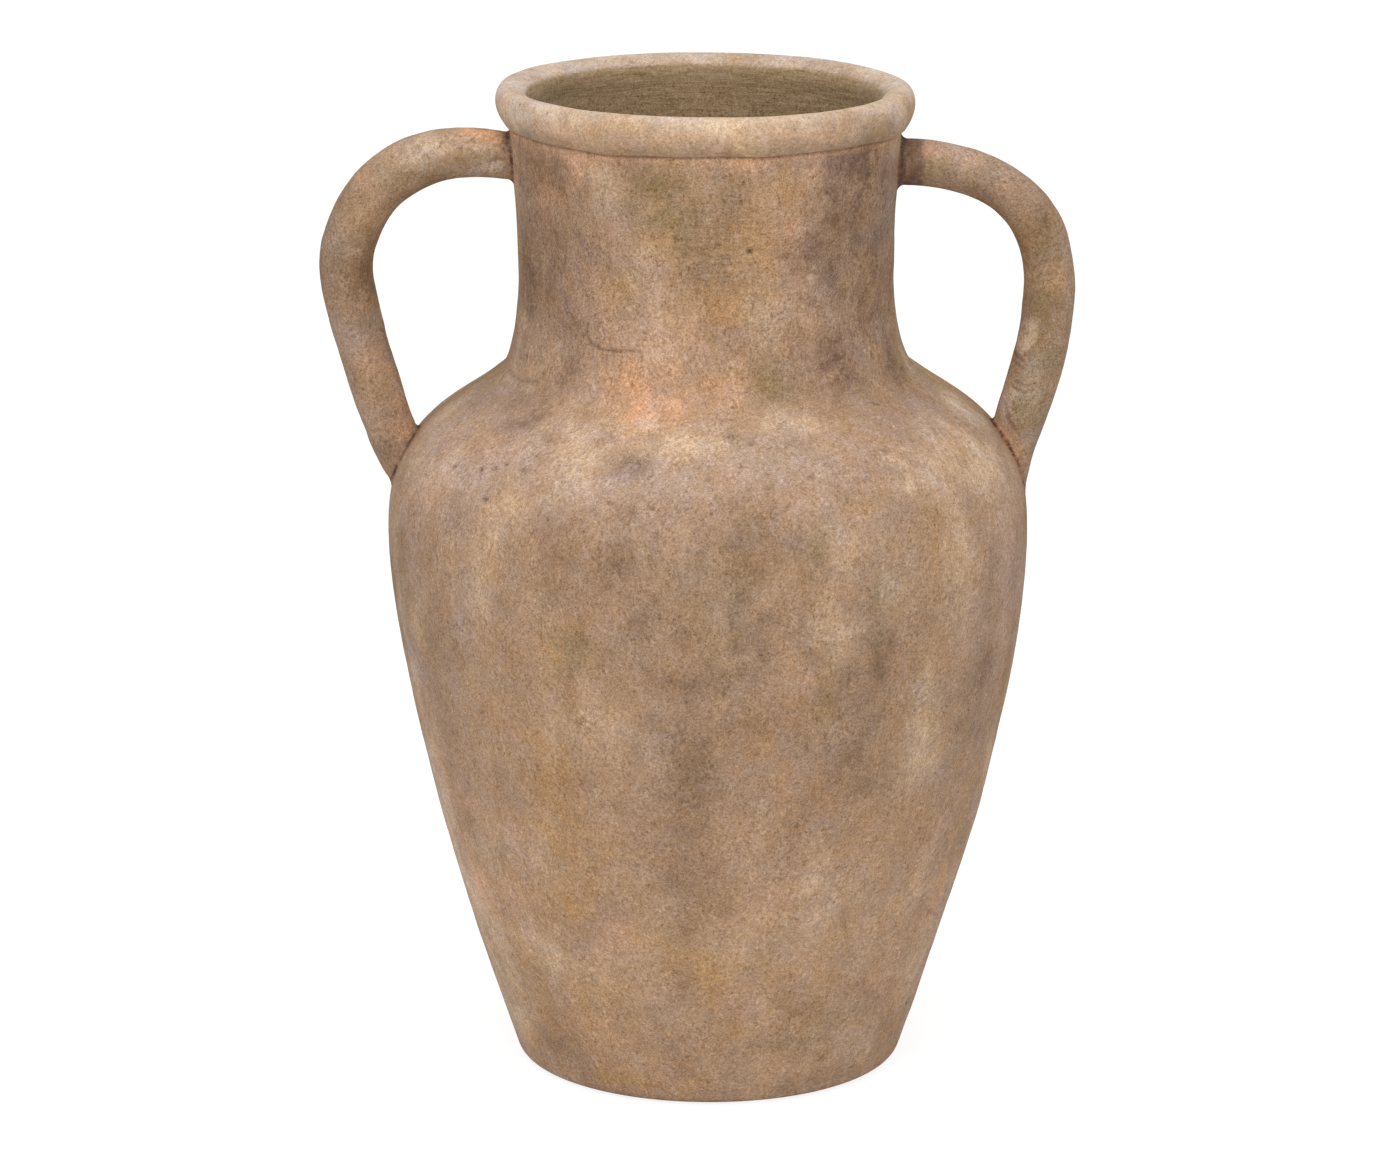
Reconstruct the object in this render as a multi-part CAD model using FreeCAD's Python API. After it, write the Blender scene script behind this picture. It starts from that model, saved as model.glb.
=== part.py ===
import FreeCAD, Part
import math
import os
from FreeCAD import Vector

# A tall terracotta vase with two bent handles, made in stages as a potter makes one.
# Sizes are in millimetres. The vase stands on the plane z = 0 with its axis along Z,
# and both handles lie in the XZ plane: the left one towards -X, the right one towards +X.
# All pieces of the wall are turned from one drawing of its section. Each joint between
# two stages is a pinched ridge on the lower one that fits a groove in the upper one.

# The foot and the floor.
foot_radius = 90.3
heel_round = 8.1
floor_thickness = 10.0
corner_coil_leg = 14.0

# The wall of the body, from the foot to its widest place.
belly_radius = 160.8
belly_height = 276.0
foot_wall = 12.0
foot_lean_share = 0.361
foot_pull_share = 0.093
belly_pull_share = 0.334
lower_joint_share = 0.5

# The shoulder, which turns in steeply and sweeps up into the neck.
shoulder_rise = 80.0
neck_foot_spread = 9.5
shoulder_lean_share = 1.526
shoulder_pull_share = 0.687
shoulder_turn_share = 0.293
sweep_rise = 46.5
sweep_pull_share = 0.144
sweep_turn_share = 0.455
neck_joint_share = 0.2

# The neck. Its bore is a true cylinder, and the outside widens a little towards the rim.
neck_radius = 93.9
neck_rise = 75.6
neck_wall = 8.4
neck_flare = 3.8
neck_flare_share = 0.5

# The rolled rim, whose thin lower edge laps over the top of the neck.
rim_height = 19.7
rim_overhang = 6.5
rim_widest_drop = 7.8
rim_crest_inset = 5.2
rim_cover = 6.0
lap_thickness = 1.6
rim_under_share = 0.3
rim_fullness_share = 0.75
rim_tuck_share = 0.4
rim_lip_share = 0.62
round_share = 0.5523

# The ridge and groove of each joint in the wall.
ridge_height = 4.0

# The left handle: a clay coil that leaves the neck rising and comes down on the shoulder.
# Its bend stands out past the belly by the overhang.
left_root_drop = 18.1
left_root_lean_share = 0.26
left_overhang = 19.4
left_bend_drop = 55.0
left_root_pull_share = 0.77
left_bend_pull_share = 0.43
left_fall_pull_share = 0.15
left_foot_pull_share = 0.1
left_foot_rise = 26.3
left_foot_depth = 9.0
left_foot_turn = 52.0
left_root_thickness = 22.2
left_shoulder_thickness = 27.3
left_bend_thickness = 27.4
left_grip_thickness = 25.6
left_foot_thickness = 23.4

# The right handle, which sits a little lower, is bent tighter and comes down straight.
right_root_drop = 19.2
right_root_lean_share = 0.04
right_overhang = 9.2
right_bend_drop = 60.0
right_root_pull_share = 0.46
right_bend_pull_share = 0.82
right_fall_pull_share = 0.471
right_foot_pull_share = 0.31
right_foot_rise = 13.0
right_foot_depth = 12.0
right_foot_turn = 0.0
right_root_thickness = 22.8
right_shoulder_thickness = 23.3
right_bend_thickness = 25.3
right_grip_thickness = 26.2
right_foot_thickness = 22.0

# What the two handles share.
handle_root_depth = 9.0
handle_depth_share = 1.06
handle_sections = 13

# The clay smeared round each handle end: thick on the wall, thin where it ends on the handle.
upper_luting_lead = 12.0
lower_luting_lead = 3.0
luting_root_thickness = 3.4
luting_edge_thickness = 0.6
luting_inset_share = 0.45
luting_sections = 4

# One overrun serves every cut, and one count serves the points that a wall is offset at.
overrun = 20.0
offset_points = 8

# Heights and radii that follow from the sizes above.
neck_foot_height = belly_height + shoulder_rise
waist_height = neck_foot_height + sweep_rise
lap_height = waist_height + neck_rise
seat_height = lap_height + rim_cover
height = lap_height + rim_height
bore_radius = neck_radius - neck_wall
neck_top_radius = neck_radius + neck_flare
neck_foot_radius = neck_radius + neck_foot_spread
rim_radius = neck_top_radius + rim_overhang
far_radius = belly_radius + overrun


def at(radius, z):
    """A point of the section, which is drawn in the XZ plane."""
    return Vector(radius, 0, z)


def line(*points):
    """Straight edges through the points, one after another."""
    return [Part.makeLine(a, b) for a, b in zip(points, points[1:])]


def bezier(*poles):
    """A cubic curve on its four control points."""
    curve = Part.BezierCurve()
    curve.setPoles(list(poles))
    return curve


def face_of(edges):
    """The flat face inside a closed run of edges."""
    return Part.Face(Part.Wire(edges))


def turned(face):
    """The solid that a face of the section makes when it is turned about the axis."""
    return face.revolve(Vector(0, 0, 0), Vector(0, 0, 1), 360).Solids[0]


def heel():
    """The round of the heel: an arc from the flat foot to where the leaning wall starts."""
    lean = math.atan(foot_lean_share)
    centre = at(foot_radius, heel_round)

    def on_arc(turn):
        return centre + at(math.cos(turn), math.sin(turn)) * heel_round

    halfway = -(math.pi / 2 + lean) / 2
    return Part.Arc(on_arc(-math.pi / 2), on_arc(halfway), on_arc(-lean))


def body_curves():
    """The outside of the body as three curves: foot to belly, belly to neck foot, sweep to neck."""
    start = heel().EndPoint
    climb = belly_height - start.z
    belly = at(belly_radius, belly_height)
    foot_lean = at(foot_lean_share, 1)
    lower = bezier(start, start + foot_lean * (climb * foot_pull_share),
                   belly - at(0, climb * belly_pull_share), belly)

    neck_foot = at(neck_foot_radius, neck_foot_height)
    inset = belly_radius - neck_foot_radius
    lean = at(-inset * shoulder_lean_share, shoulder_rise)
    lean.normalize()
    across = belly.distanceToPoint(neck_foot)
    shoulder = bezier(belly, belly + at(0, shoulder_rise * shoulder_pull_share),
                      neck_foot - lean * (across * shoulder_turn_share), neck_foot)

    waist = at(neck_radius, waist_height)
    sweep = bezier(neck_foot, neck_foot + lean * (sweep_rise * sweep_pull_share),
                   waist - at(0, sweep_rise * sweep_turn_share), waist)
    return [lower, shoulder, sweep]


def neck_curve():
    """The outside of the neck, upright at the waist and a little wider at the rim."""
    waist = at(neck_radius, waist_height)
    top = at(neck_top_radius, seat_height)
    rise = seat_height - waist_height
    low_pull = waist + at(0, rise * neck_flare_share)
    high_pull = top - at(neck_flare * neck_flare_share, rise * neck_flare_share)
    return bezier(waist, low_pull, high_pull, top)


def wall_at(z):
    """The wall's thickness, which falls evenly from the foot to the neck."""
    share = min(max(z / waist_height, 0), 1)
    return foot_wall + (neck_wall - foot_wall) * share


def inside_points():
    """Points of the inside: each is a point of the outside moved in square to it by the wall.

    The inside runs straight from one to the next, in bands as wide as a potter's fingers leave.
    """
    points = []
    for curve in body_curves():
        first = len(points) > 0
        for k in range(int(first), offset_points + 1):
            u = k / offset_points
            outside = curve.value(u)
            along = curve.tangent(u)[0]
            points.append(outside + at(-along.z, along.x) * wall_at(outside.z))
    return points


def filled_face():
    """Half of the vase's section up to the rim's seat, filled in to the axis."""
    curves = [heel()] + body_curves() + [neck_curve()]
    outside = [curve.toShape() for curve in curves]
    close = line(at(neck_top_radius, seat_height), at(0, seat_height), at(0, 0), at(foot_radius, 0))
    return face_of(outside + close)


def hollow_face():
    """Half of the hollow's section: the inside of the wall, the bore, and the open mouth."""
    points = inside_points()
    top = height + overrun
    inside = line(at(points[0].x, 0), *points, at(bore_radius, top), at(0, top), at(0, 0),
                  at(points[0].x, 0))
    above_floor = face_of(line(at(0, floor_thickness), at(far_radius, floor_thickness),
                               at(far_radius, top), at(0, top), at(0, floor_thickness)))
    return face_of(inside).common(above_floor)


def outside_radius(section, z):
    """How far a face of the section reaches from the axis at a height."""
    return section.common(Part.makeLine(at(0, z), at(far_radius, z))).BoundBox.XMax


def joint_line(wall_face, z):
    """The line between two stages: level, with a ridge that stands in the middle of the wall."""
    across = wall_face.common(Part.makeLine(at(0, z), at(far_radius, z))).BoundBox
    middle = (across.XMin + across.XMax) / 2
    return [at(0, z), at(across.XMin, z), at(middle, z + ridge_height), at(across.XMax, z),
            at(far_radius, z)]


def stage(wall_face, low_line, high_line):
    """One stage of the wall: what lies between two joint lines, turned about the axis."""
    band = face_of(line(*low_line, *reversed(high_line), low_line[0]))
    return turned(wall_face.common(band).Faces[0])


def rim_face(neck_section):
    """The rim's section: a roll from the bore over the crest, tapered outside to its thin lap."""
    lip = at(bore_radius, seat_height)
    crest = at(rim_radius - rim_crest_inset, height)
    widest = at(rim_radius, height - rim_widest_drop)
    lap = at(neck_top_radius + lap_thickness, lap_height)
    inner_width = crest.x - lip.x
    inner_rise = crest.z - lip.z
    outer = widest.x - lap.x
    under = widest.z - lap.z
    middle = bore_radius + neck_wall / 2
    curves = [
        bezier(lip, lip + at(0, inner_rise * rim_lip_share),
               crest - at(inner_width * round_share, 0), crest),
        bezier(crest, crest + at(rim_crest_inset * round_share, 0),
               widest + at(0, rim_widest_drop * round_share), widest),
        bezier(widest, widest - at(0, under * rim_under_share),
               lap + at(outer * rim_fullness_share, under * rim_tuck_share), lap)]
    inside_the_neck = line(lap, at(middle, lap_height), at(middle, seat_height), lip)
    return face_of([curve.toShape() for curve in curves] + inside_the_neck).cut(neck_section).Faces[0]


def corner_coil(hollow):
    """A coil pressed into the corner of floor and wall, and smoothed to a slope inside."""
    low = floor_thickness
    high = low + corner_coil_leg
    tip = at(outside_radius(hollow, low) - corner_coil_leg, low)
    top = at(outside_radius(hollow, high), high)
    slope = line(tip, top, at(far_radius, high), at(far_radius, low), tip)
    return turned(face_of(slope).common(hollow).Faces[0])


def handle_line(filled, root_place, bend_place, foot_place, pull_shares):
    """A handle's centre line in the XZ plane, from inside the neck to inside the shoulder.

    One curve leaves the neck and turns down to the outermost place, and a second one goes
    on from there to the shoulder, where it turns in by foot_turn degrees from straight down.
    """
    root_drop, root_lean = root_place
    overhang, bend_drop = bend_place
    foot_rise, foot_depth, foot_turn = foot_place
    root_pull, bend_pull, fall_pull, foot_pull = pull_shares
    root = at(neck_top_radius - handle_root_depth, lap_height - root_drop)
    bend = at(belly_radius + overhang, root.z - bend_drop)
    foot_height = belly_height + foot_rise
    foot = at(outside_radius(filled, foot_height) - foot_depth, foot_height)
    out = bend.x - root.x
    fall = bend.z - foot.z
    turn = math.radians(foot_turn)
    foot_way = at(-math.sin(turn), -math.cos(turn))
    first = bezier(root, root + at(1, root_lean) * (out * root_pull),
                   bend + at(0, bend_drop * bend_pull), bend)
    second = bezier(bend, bend - at(0, fall * fall_pull), foot - foot_way * (fall * foot_pull), foot)
    route = Part.Wire([first.toShape(), second.toShape()])
    centre = Part.BSplineCurve()
    centre.interpolate(route.discretize(Number=2 * handle_sections))
    return centre


def ring(centre, distance, thickness, depth, inset):
    """An oval across the centre line at a distance along it, moved by inset to its inner side."""
    u = centre.parameterAtDistance(distance, centre.FirstParameter)
    along = centre.tangent(u)[0]
    across = at(-along.z, along.x)
    middle = centre.value(u) - across * inset
    oval = Part.Ellipse(middle + Vector(0, depth / 2, 0), middle + across * (thickness / 2), middle)
    return Part.Wire(oval.toShape())


def spread(values, share):
    """The value at a share of the way along an evenly spaced list of sizes."""
    place = share * (len(values) - 1)
    k = min(int(place), len(values) - 2)
    return values[k] + (values[k + 1] - values[k]) * (place - k)


def handle_coil(centre, thicknesses):
    """The handle as a rolled coil: ovals of changing size lofted along its centre line."""
    length = centre.length()
    rings = []
    for k in range(handle_sections):
        share = k / (handle_sections - 1)
        thickness = spread(thicknesses, share)
        rings.append(ring(centre, length * share, thickness, thickness * handle_depth_share, 0))
    return Part.makeLoft(rings, True)


def luting_sleeve(centre, thicknesses, start, end):
    """A sleeve round one end of a handle, from its thin edge on the handle to the wall."""
    length = centre.length()
    rings = []
    for k in range(luting_sections):
        share = k / (luting_sections - 1)
        distance = start + (end - start) * share
        growth = luting_edge_thickness + (luting_root_thickness - luting_edge_thickness) * share ** 2
        thickness = spread(thicknesses, distance / length)
        depth = thickness * handle_depth_share + 2 * growth
        rings.append(ring(centre, distance, thickness + 2 * growth, depth, growth * luting_inset_share))
    return Part.makeLoft(rings, True, True)


def largest(shape):
    """The main solid that is left after a cut."""
    return max(shape.Solids, key=lambda solid: solid.Volume)


def mirrored(shape):
    """The same shape on the left, towards -X."""
    return shape.mirror(Vector(0, 0, 0), Vector(1, 0, 0))


def meeting_places(coil, vessel, centre):
    """How far along its centre line the coil comes clear of the vessel, and where it meets it again."""
    length = centre.length()
    leaves, meets = 0, length
    for edge in coil.common(vessel).Edges:
        for point in edge.discretize(Number=offset_points):
            distance = centre.length(centre.FirstParameter, centre.parameter(point))
            if distance < length / 2:
                leaves = max(leaves, distance)
            else:
                meets = min(meets, distance)
    return leaves, meets


def handle_and_luting(vessel, centre, thicknesses):
    """A handle coped to the vessel, and the two lutings coped to the handle and the vessel."""
    coil = handle_coil(centre, thicknesses)
    handle = largest(coil.cut(vessel))
    leaves, meets = meeting_places(coil, vessel, centre)
    upper = luting_sleeve(centre, thicknesses, leaves + upper_luting_lead, 0)
    lower = luting_sleeve(centre, thicknesses, meets - lower_luting_lead, centre.length())
    return [handle] + [largest(sleeve.cut(coil).cut(vessel)) for sleeve in (upper, lower)]


def make_vase():
    """Every piece by name: the turned stages first, then the handles and their luting."""
    filled = filled_face()
    hollow = hollow_face()
    wall = filled.cut(hollow)

    ground = [at(0, 0), at(far_radius, 0)]
    floor_top = [at(0, floor_thickness), at(far_radius, floor_thickness)]
    lower_joint = joint_line(wall, belly_height * lower_joint_share)
    belly_joint = joint_line(wall, belly_height)
    neck_joint = joint_line(wall, neck_foot_height + sweep_rise * neck_joint_share)
    middle = bore_radius + neck_wall / 2
    seat = [at(0, seat_height - ridge_height), at(bore_radius, seat_height - ridge_height),
            at(middle, seat_height), at(neck_top_radius, seat_height - ridge_height),
            at(far_radius, seat_height - ridge_height)]

    neck_band = face_of(line(*neck_joint, *reversed(seat), neck_joint[0]))
    neck_section = wall.common(neck_band).Faces[0]
    pieces = {
        "floor_disc": stage(wall, ground, floor_top),
        "corner_coil": corner_coil(hollow),
        "lower_wall": stage(wall, floor_top, lower_joint),
        "belly_wall": stage(wall, lower_joint, belly_joint),
        "shoulder": stage(wall, belly_joint, neck_joint),
        "neck": turned(neck_section),
        "rim_roll": turned(rim_face(neck_section))}

    vessel = turned(filled).fuse(pieces["rim_roll"])
    left_line = handle_line(filled, (left_root_drop, left_root_lean_share),
                            (left_overhang, left_bend_drop),
                            (left_foot_rise, left_foot_depth, left_foot_turn),
                            (left_root_pull_share, left_bend_pull_share, left_fall_pull_share,
                             left_foot_pull_share))
    left_sizes = [left_root_thickness, left_shoulder_thickness, left_bend_thickness,
                  left_grip_thickness, left_foot_thickness]
    right_line = handle_line(filled, (right_root_drop, right_root_lean_share),
                             (right_overhang, right_bend_drop),
                             (right_foot_rise, right_foot_depth, right_foot_turn),
                             (right_root_pull_share, right_bend_pull_share, right_fall_pull_share,
                              right_foot_pull_share))
    right_sizes = [right_root_thickness, right_shoulder_thickness, right_bend_thickness,
                   right_grip_thickness, right_foot_thickness]
    names = ("handle", "upper_luting", "lower_luting")
    for name, shape in zip(names, handle_and_luting(vessel, left_line, left_sizes)):
        pieces["left_" + name] = mirrored(shape)
    for name, shape in zip(names, handle_and_luting(vessel, right_line, right_sizes)):
        pieces["right_" + name] = shape
    return pieces


os.makedirs("parts", exist_ok=True)
for node, solid in make_vase().items():
    solid.exportStep("parts/" + node + ".step")
    box = solid.BoundBox
    print(node, solid.ShapeType, solid.isValid(), "volume", round(solid.Volume),
          "z", round(box.ZMin, 1), round(box.ZMax, 1), "x", round(box.XMin, 1), round(box.XMax, 1))
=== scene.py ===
# %% [markdown]
# # A two-handled terracotta vase
#
# This lesson dresses a CAD model of a potter's vase in its real surface. The CAD part holds the
# vase as it is put together: a floor, a coil in its corner, three stages of the body, a neck, a
# rolled rim, two handles and the clay that joins them. Those solids are exact and a little too
# perfect. A real pot leans, has dents from fingers, pits, a groove under the rim, and a colour
# that was washed on and rubbed off again. Here each piece is made once more as a surface worked
# out with numpy, at the place that the CAD gives it, and then painted with shader nodes.
#
# Lengths are in millimetres while a shape is worked out, and become metres in the mesh. Angles
# round the vase are in degrees: 0 faces the camera, and they grow towards the right handle.

import bpy
import numpy as np
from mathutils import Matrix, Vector


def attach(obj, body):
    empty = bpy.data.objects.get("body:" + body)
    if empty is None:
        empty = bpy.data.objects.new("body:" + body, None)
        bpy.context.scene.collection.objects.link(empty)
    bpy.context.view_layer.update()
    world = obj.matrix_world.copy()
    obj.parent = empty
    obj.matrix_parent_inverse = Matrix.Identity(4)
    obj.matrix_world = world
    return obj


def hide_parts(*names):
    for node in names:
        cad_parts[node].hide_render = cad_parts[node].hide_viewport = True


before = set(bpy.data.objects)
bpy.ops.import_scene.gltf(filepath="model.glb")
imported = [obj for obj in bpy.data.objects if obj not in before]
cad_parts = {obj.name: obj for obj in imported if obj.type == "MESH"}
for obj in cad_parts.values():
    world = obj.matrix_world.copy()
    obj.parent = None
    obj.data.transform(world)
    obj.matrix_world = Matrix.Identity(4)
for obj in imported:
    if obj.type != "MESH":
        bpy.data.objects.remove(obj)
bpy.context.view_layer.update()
METRES = 0.001

# %% [markdown]
# ## The sizes of the vase
#
# A thrown or coiled pot is round, so one drawing of its section gives all of its shape. These are
# the sizes that a potter would note for it, from the foot to the rim. They are the same named
# sizes as in the CAD, so that the surface and the solids share one section. A lean gives the
# direction in which a curve sets out, and a pull or turn how strongly, as a share of its height.

# %% Named sizes of the section
FOOT_RADIUS, HEEL_ROUND, FLOOR_TOP, COIL_LEG = 90.3, 8.1, 10.0, 14.0
FOOT_LEAN, FOOT_PULL, BELLY_PULL = 0.361, 0.093, 0.334
BELLY_RADIUS, BELLY_HEIGHT = 160.8, 276.0
NECK_FOOT_RADIUS, NECK_FOOT_HEIGHT = 103.4, 356.0
SHOULDER_LEAN, SHOULDER_PULL, SHOULDER_TURN = 1.526, 0.687, 0.293
NECK_RADIUS, WAIST_HEIGHT, NECK_PULL = 93.9, 402.5, 0.5
SWEEP_PULL, SWEEP_TURN = 0.144, 0.455
NECK_TOP_RADIUS, LAP_HEIGHT, SEAT_HEIGHT = 97.7, 478.1, 484.1
RIM_RADIUS, RIM_WIDEST, CREST_RADIUS, HEIGHT = 104.2, 490.0, 99.0, 497.8
LAP_PULL, UNDER_RIM_PULL, RIM_PULL = 0.75, 0.4, 0.3
CREST_PULL, LIP_PULL = 0.55, 0.62
LAP, LAP_GAP, BORE_RADIUS, RIDGE = 1.6, 0.6, 85.5, 4.0
FOOT_WALL, NECK_WALL = 12.0, 8.4
LOWER_JOINT, BELLY_JOINT, NECK_JOINT = 138.0, 276.0, 365.3
print("the vase is", HEIGHT, "mm high and", 2 * BELLY_RADIUS, "mm across the belly")

# %% [markdown]
# ## The outside as a chain of curves
#
# The outside is the round of the heel, a long swelling wall, a shoulder that turns in steeply, a
# short sweep into the neck, and the neck. Each is a Bezier curve but the heel, which is an arc. A
# Bezier curve suits clay, because its two middle poles only say how strongly the wall sets out
# and arrives, and two curves that share a direction where they meet flow into each other.

# %% Curves of the outside
def cubic(start, first_pull, second_pull, end, count=400):
    """Points of a Bezier curve: its four poles weighted by the terms of (1 - t + t) cubed."""
    t = np.linspace(0, 1, count)[:, None]
    a, b, c, d = (np.array(pole, float) for pole in (start, first_pull, second_pull, end))
    return (1 - t) ** 3 * a + 3 * (1 - t) ** 2 * t * b + 3 * (1 - t) * t ** 2 * c + t ** 3 * d


def arc(centre, radius, from_degrees, to_degrees, count=80):
    """Points of an arc: the centre plus the radius times the cosine and sine of the angle."""
    a = np.radians(np.linspace(from_degrees, to_degrees, count))
    return np.array(centre) + radius * np.column_stack([np.cos(a), np.sin(a)])


def outside_curve():
    """The outside from the flat foot to the lap under the rim, as points of radius and height."""
    heel = arc((FOOT_RADIUS, HEEL_ROUND), HEEL_ROUND, -90, -np.degrees(np.arctan(FOOT_LEAN)))
    start, climb = heel[-1], BELLY_HEIGHT - heel[-1][1]
    lower = cubic(start, start + np.array([FOOT_LEAN, 1]) * climb * FOOT_PULL,
                  (BELLY_RADIUS, BELLY_HEIGHT - climb * BELLY_PULL), (BELLY_RADIUS, BELLY_HEIGHT))
    across = np.array([NECK_FOOT_RADIUS - BELLY_RADIUS, NECK_FOOT_HEIGHT - BELLY_HEIGHT])
    slope = across * (SHOULDER_LEAN, 1)
    slope /= np.linalg.norm(slope)
    neck_foot = np.array([NECK_FOOT_RADIUS, NECK_FOOT_HEIGHT])
    shoulder = cubic((BELLY_RADIUS, BELLY_HEIGHT), (BELLY_RADIUS, BELLY_HEIGHT + across[1] * SHOULDER_PULL),
                     neck_foot - slope * np.linalg.norm(across) * SHOULDER_TURN, neck_foot)
    sweep_rise = WAIST_HEIGHT - NECK_FOOT_HEIGHT
    sweep = cubic(neck_foot, neck_foot + slope * sweep_rise * SWEEP_PULL,
                  (NECK_RADIUS, WAIST_HEIGHT - sweep_rise * SWEEP_TURN), (NECK_RADIUS, WAIST_HEIGHT))
    rise, flare = SEAT_HEIGHT - WAIST_HEIGHT, NECK_TOP_RADIUS - NECK_RADIUS
    neck = cubic((NECK_RADIUS, WAIST_HEIGHT), (NECK_RADIUS, WAIST_HEIGHT + rise * NECK_PULL),
                 (NECK_TOP_RADIUS - flare * NECK_PULL, SEAT_HEIGHT - rise * NECK_PULL),
                 (NECK_TOP_RADIUS, SEAT_HEIGHT))
    neck = neck[neck[:, 1] < LAP_HEIGHT - LAP_GAP]
    return np.vstack([heel, lower[1:], shoulder[1:], sweep[1:], neck[1:]])


OUTSIDE = outside_curve()
print("outside drawn with", len(OUTSIDE), "points")

# %% [markdown]
# ## The rolled rim
#
# The rim is a coil rolled over the top of the neck, with its lower edge smeared down over the
# neck as a lap. In section it is three swings: out from the lap, in over the crest, and down the
# lip to the bore. Drawing it apart from the neck keeps the small step that catches the shadow.

# %% The curve of the rim
def rim_curve():
    """The rolled rim from its lap on the neck over the crest to the bore, in three swings."""
    under, out = RIM_WIDEST - LAP_HEIGHT, RIM_RADIUS - NECK_TOP_RADIUS - LAP
    side = cubic((NECK_TOP_RADIUS + LAP, LAP_HEIGHT),
                 (NECK_TOP_RADIUS + LAP + out * LAP_PULL, LAP_HEIGHT + under * UNDER_RIM_PULL),
                 (RIM_RADIUS, RIM_WIDEST - under * RIM_PULL), (RIM_RADIUS, RIM_WIDEST))
    drop, inset = HEIGHT - RIM_WIDEST, RIM_RADIUS - CREST_RADIUS
    top = cubic((RIM_RADIUS, RIM_WIDEST), (RIM_RADIUS, RIM_WIDEST + drop * CREST_PULL),
                (CREST_RADIUS + inset * CREST_PULL, HEIGHT), (CREST_RADIUS, HEIGHT))
    lip_width, lip_rise = CREST_RADIUS - BORE_RADIUS, HEIGHT - SEAT_HEIGHT
    lip = cubic((CREST_RADIUS, HEIGHT), (CREST_RADIUS - lip_width * CREST_PULL, HEIGHT),
                (BORE_RADIUS, SEAT_HEIGHT + lip_rise * LIP_PULL), (BORE_RADIUS, SEAT_HEIGHT))
    return np.vstack([side, top[1:], lip[1:]])


RIM = rim_curve()
RISING_RIM = RIM[:int(np.argmax(RIM[:, 1])) + 1]
WHOLE_OUTSIDE = np.vstack([OUTSIDE, RISING_RIM])
print("rim drawn with", len(RIM), "points, top at", round(RIM[:, 1].max(), 2), "mm")

# %% [markdown]
# ## Even rows and an even wall
#
# A mesh needs rows that stand evenly along the section, whatever the curve's own points do, so a
# run of the curve is cut by its length. The inside isn't drawn by hand. A potter feels the wall
# between two fingers and keeps it even, so the inside is the outside moved in by the wall.

# %% Cutting the section into rows
def even_rows(points, step):
    """The same run of points at even steps: each is read off by its length along the run."""
    lengths = np.append(0, np.cumsum(np.linalg.norm(np.diff(points, axis=0), axis=1)))
    places = np.linspace(0, lengths[-1], max(2, int(round(lengths[-1] / step)) + 1))
    return np.column_stack([np.interp(places, lengths, points[:, k]) for k in (0, 1)])


def between(points, low, high):
    """The part of a rising curve from one height to another, with both ends exactly there."""
    inner = points[(points[:, 1] > low + 0.01) & (points[:, 1] < high - 0.01)]
    ends = [[np.interp(z, points[:, 1], points[:, 0]), z] for z in (low, high)]
    return np.vstack([ends[0], inner, ends[1]])


def inside_curve(below_neck=200):
    """The inside: the outside moved in square to itself by the wall, which thins towards the neck."""
    body = OUTSIDE[OUTSIDE[:, 1] < WAIST_HEIGHT]
    along = np.gradient(body, axis=0)
    along /= np.linalg.norm(along, axis=1)[:, None]
    wall = FOOT_WALL + (NECK_WALL - FOOT_WALL) * np.clip(body[:, 1] / WAIST_HEIGHT, 0, 1)
    moved = body + np.column_stack([-along[:, 1], along[:, 0]]) * wall[:, None]
    moved = moved[(moved[:, 0] > BORE_RADIUS) | (moved[:, 1] < below_neck)]
    order = np.argsort(moved[:, 1])
    return np.vstack([moved[order], [[BORE_RADIUS, WAIST_HEIGHT], [BORE_RADIUS, HEIGHT]]])


def inner_radius(height):
    """The radius of the inside at a height."""
    return np.interp(height, INSIDE[:, 1], INSIDE[:, 0])


INSIDE = inside_curve()
print("radius inside the neck", round(float(inner_radius(440)), 2), "mm")

# %% [markdown]
# ## Clay is never quite smooth
#
# Fingers and a wet rib leave slow swellings, faint bands round the pot and small dents. All of
# these start from one soft noise. It is read at points in space, so it has no seam anywhere on
# the pot. The noise is blended from random numbers on a lattice, for whole arrays at once. The
# lattice is turned, so that its cells don't line up with the axis of the pot.

# %% Soft noise
TILT = np.array([[0.80, 0.36, -0.48], [-0.60, 0.48, -0.64], [0.0, 0.80, 0.60]])
LATTICE, LATTICE_SHIFT = 32, 100.37


def soft_noise(points, size, seed):
    """Random values on a lattice of the given cell size, blended by 6t^5 - 15t^4 + 10t^3."""
    table = np.random.default_rng(seed).uniform(-1, 1, (LATTICE, LATTICE, LATTICE))
    scaled = points @ TILT.T / size + LATTICE_SHIFT + seed
    cell = np.floor(scaled).astype(int)
    t = scaled - cell
    t = t ** 3 * (t * (t * 6 - 15) + 10)
    total = np.zeros(points.shape[:-1])
    for corner in np.ndindex(2, 2, 2):
        weight = np.prod(np.where(np.array(corner) == 1, t, 1 - t), axis=-1)
        i, j, k = np.moveaxis((cell + corner) % LATTICE, -1, 0)
        total += weight * table[i, j, k]
    return total


def bell(distance, width):
    """The bell curve: e to the power of minus the distance over the width, squared."""
    return np.exp(-(distance / width) ** 2)


print("noise at the crest:", soft_noise(np.array([[CREST_RADIUS, 0, HEIGHT]]), 30, 1).round(3))

# %% [markdown]
# ## One grid for the whole pot
#
# The stages of a pot are separate solids in the CAD, but nobody sees where they meet: the potter
# wipes the joints flat. So the surface is worked out once, as one grid that runs from the middle
# of the foot up the outside, over the rim and down the inside. Each stage then takes its own rows
# of that grid, and its normals with them, and the joints vanish. The columns stand closer together
# on the side that faces the camera.

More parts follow.
